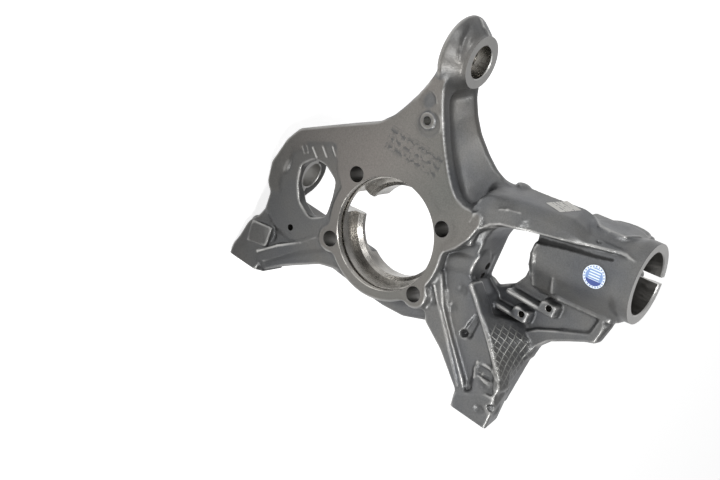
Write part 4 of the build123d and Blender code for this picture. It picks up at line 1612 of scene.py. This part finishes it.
@dataclass
class Studio:
    """Camera, pale floor, soft lamps and white surroundings.

    Attributes:
        right, up, back: the camera's axes.
        offset: its place along them.
        lens, sensor: its lens and the width of its sensor.
        clip: its clipping distances in metres.
        floor_z, floor_r: the height and the radius of the floor.
        floor_glow: the light of the floor to the eye and in reflections.
        walls_seen: heights of a direction and the greys there, to the eye and in reflections.
        walls_light: the same as a source of light.
        lamps: the four soft lamps.
    """

    right: Triple = (-0.36496946, 0.55813952, 0.74516949)
    up: Triple = (-0.86328901, 0.09681467, -0.49533726)
    back: Triple = (-0.34861065, -0.82407961, 0.44650131)
    offset: Triple = (-19.3, -4.7, 1716.0)
    lens: float = 110.0
    sensor: float = 36.0
    clip: tuple[float, float] = (0.01, 50)
    floor_z: float = -131
    floor_r: float = 6000
    floor_glow: float = 0.80
    walls_seen: tuple[tuple[float, float], ...] = ((0.10, 1.0), (0.75, 0.22))
    walls_light: tuple[tuple[float, float], ...] = ((0.10, 0.30), (0.75, 0.08))
    lamps: tuple[Lamp, ...] = (
        Lamp("key", (-1.15, -0.55, 0.50), 0.30, 4.4),
        Lamp("front", (-0.25, -0.50, 0.50), 0.12, 2.6),
        Lamp("side", (0.34, -0.50, 0.46), 0.20, 3.4),
        Lamp("rim", (-0.35, -0.3, 1.3), 0.25, 5.0),
    )

    def build(self) -> None:
        """Makes the camera, the floor, the lamps and the world."""
        self.camera()
        self.floor()
        for lamp in self.lamps:
            lamp.build()
        self.world()

    def camera(self) -> None:
        """A long lens at the viewing angle, turned with the object."""
        data = bpy.data.cameras.new("camera")
        data.lens, data.sensor_width = self.lens, self.sensor
        data.clip_start, data.clip_end = self.clip
        data.dof.use_dof = False
        camera = bpy.data.objects.new("camera", data)
        bpy.context.scene.collection.objects.link(camera)
        axes = [Vector(self.right), Vector(self.up), Vector(self.back)]
        turn = Matrix([[axes[c][r] for c in range(3)] for r in range(3)]).to_4x4()
        spot = sum((a * o for a, o in zip(axes, self.offset)), Vector()) * MM
        camera.matrix_world = Matrix.Translation(spot) @ turn
        bpy.context.scene.camera = camera

    def floor(self) -> None:
        """A large disc just under the object: white to the eye and in reflections, with a faint shadow."""
        profile = [(-1, 0), (-1, self.floor_r), (0, self.floor_r), (0, 0)]
        points, faces = turned(profile, Place.along((0, 0, self.floor_z), Z_AXIS), 64)
        floor = new_piece("floor", points, faces)
        n = Nodes("floor_paint")
        glow = n.times(self.seen(n.tree), self.floor_glow)
        n.surface(Base_Color=(0.8, 0.8, 0.8, 1.0), Roughness=0.9, Specular_IOR_Level=0.0,
                  Emission_Color=(1.0, 1.0, 1.0, 1.0), Emission_Strength=glow)
        floor.data.materials.append(n.material)

    def seen(self, tree: bpy.types.NodeTree) -> Socket:
        """A share that is 1 for what the eye sees straight, in reflections and through glass."""
        path = tree.nodes.new("ShaderNodeLightPath")
        total = path.outputs["Is Camera Ray"]
        for other in ("Is Glossy Ray", "Is Transmission Ray"):
            node = tree.nodes.new("ShaderNodeMath")
            node.operation, node.use_clamp = "ADD", True
            tree.links.new(total, node.inputs[0])
            tree.links.new(path.outputs[other], node.inputs[1])
            total = node.outputs[0]
        return total

    def world(self) -> None:
        """White near the horizon to the eye and in reflections, dim overhead, softer as a source of light."""
        world = bpy.data.worlds.new("surroundings")
        bpy.context.scene.world = world
        world.use_nodes = True
        tree = world.node_tree
        tree.nodes.clear()
        seen = self.seen(tree)
        direction = tree.nodes.new("ShaderNodeTexCoord")
        split = tree.nodes.new("ShaderNodeSeparateXYZ")
        tree.links.new(direction.outputs["Generated"], split.inputs[0])
        shades = []
        for stops in (self.walls_seen, self.walls_light):
            node = tree.nodes.new("ShaderNodeValToRGB")
            for element, (place, value) in zip(node.color_ramp.elements, stops):
                element.position, element.color = place, (value, value, value * 1.01, 1.0)
            tree.links.new(split.outputs["Z"], node.inputs["Fac"])
            shade = tree.nodes.new("ShaderNodeBackground")
            tree.links.new(node.outputs["Color"], shade.inputs["Color"])
            shades.append(shade)
        mix, out = tree.nodes.new("ShaderNodeMixShader"), tree.nodes.new("ShaderNodeOutputWorld")
        tree.links.new(seen, mix.inputs["Fac"])
        tree.links.new(shades[1].outputs[0], mix.inputs[1])
        tree.links.new(shades[0].outputs[0], mix.inputs[2])
        tree.links.new(mix.outputs[0], out.inputs["Surface"])


BORED = MilledFinish("bored_aluminium", (0.40, 0.385, 0.36), 0.27, 1800.0, 0.62, 0.03)
DRILLED = MilledFinish("drilled_aluminium", (0.19, 0.185, 0.175), 0.36, 900.0)


def main() -> None:
    """Builds every sub-assembly in order and reports each piece."""
    logging.basicConfig(level=logging.INFO, format="%(relativeCreated)6.0f ms %(message)s")
    finishes = {
        Finish.CAST: CastFinish().material(),
        Finish.MILLED: MilledFinish().material(),
        Finish.BORED: BORED.material(),
        Finish.DRILLED: DRILLED.material(),
    }
    body = Casting(pitch=Casting.pitch, finishes=finishes).build()
    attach(body, "root")
    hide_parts("knuckle_casting")
    LOG.info("knuckle_body: %d faces", len(body.data.polygons))
    for node, sticker in (("round_label", RoundSticker()), ("rectangular_label", PlainSticker())):
        mesh = frame["nodes"][node].data
        mesh.materials.clear()
        mesh.materials.append(sticker.material())
        LOG.info("%s dressed", node)
    Studio().build()
    bpy.context.scene.view_settings.view_transform = "Standard"


if __name__ == "__main__":
    main()
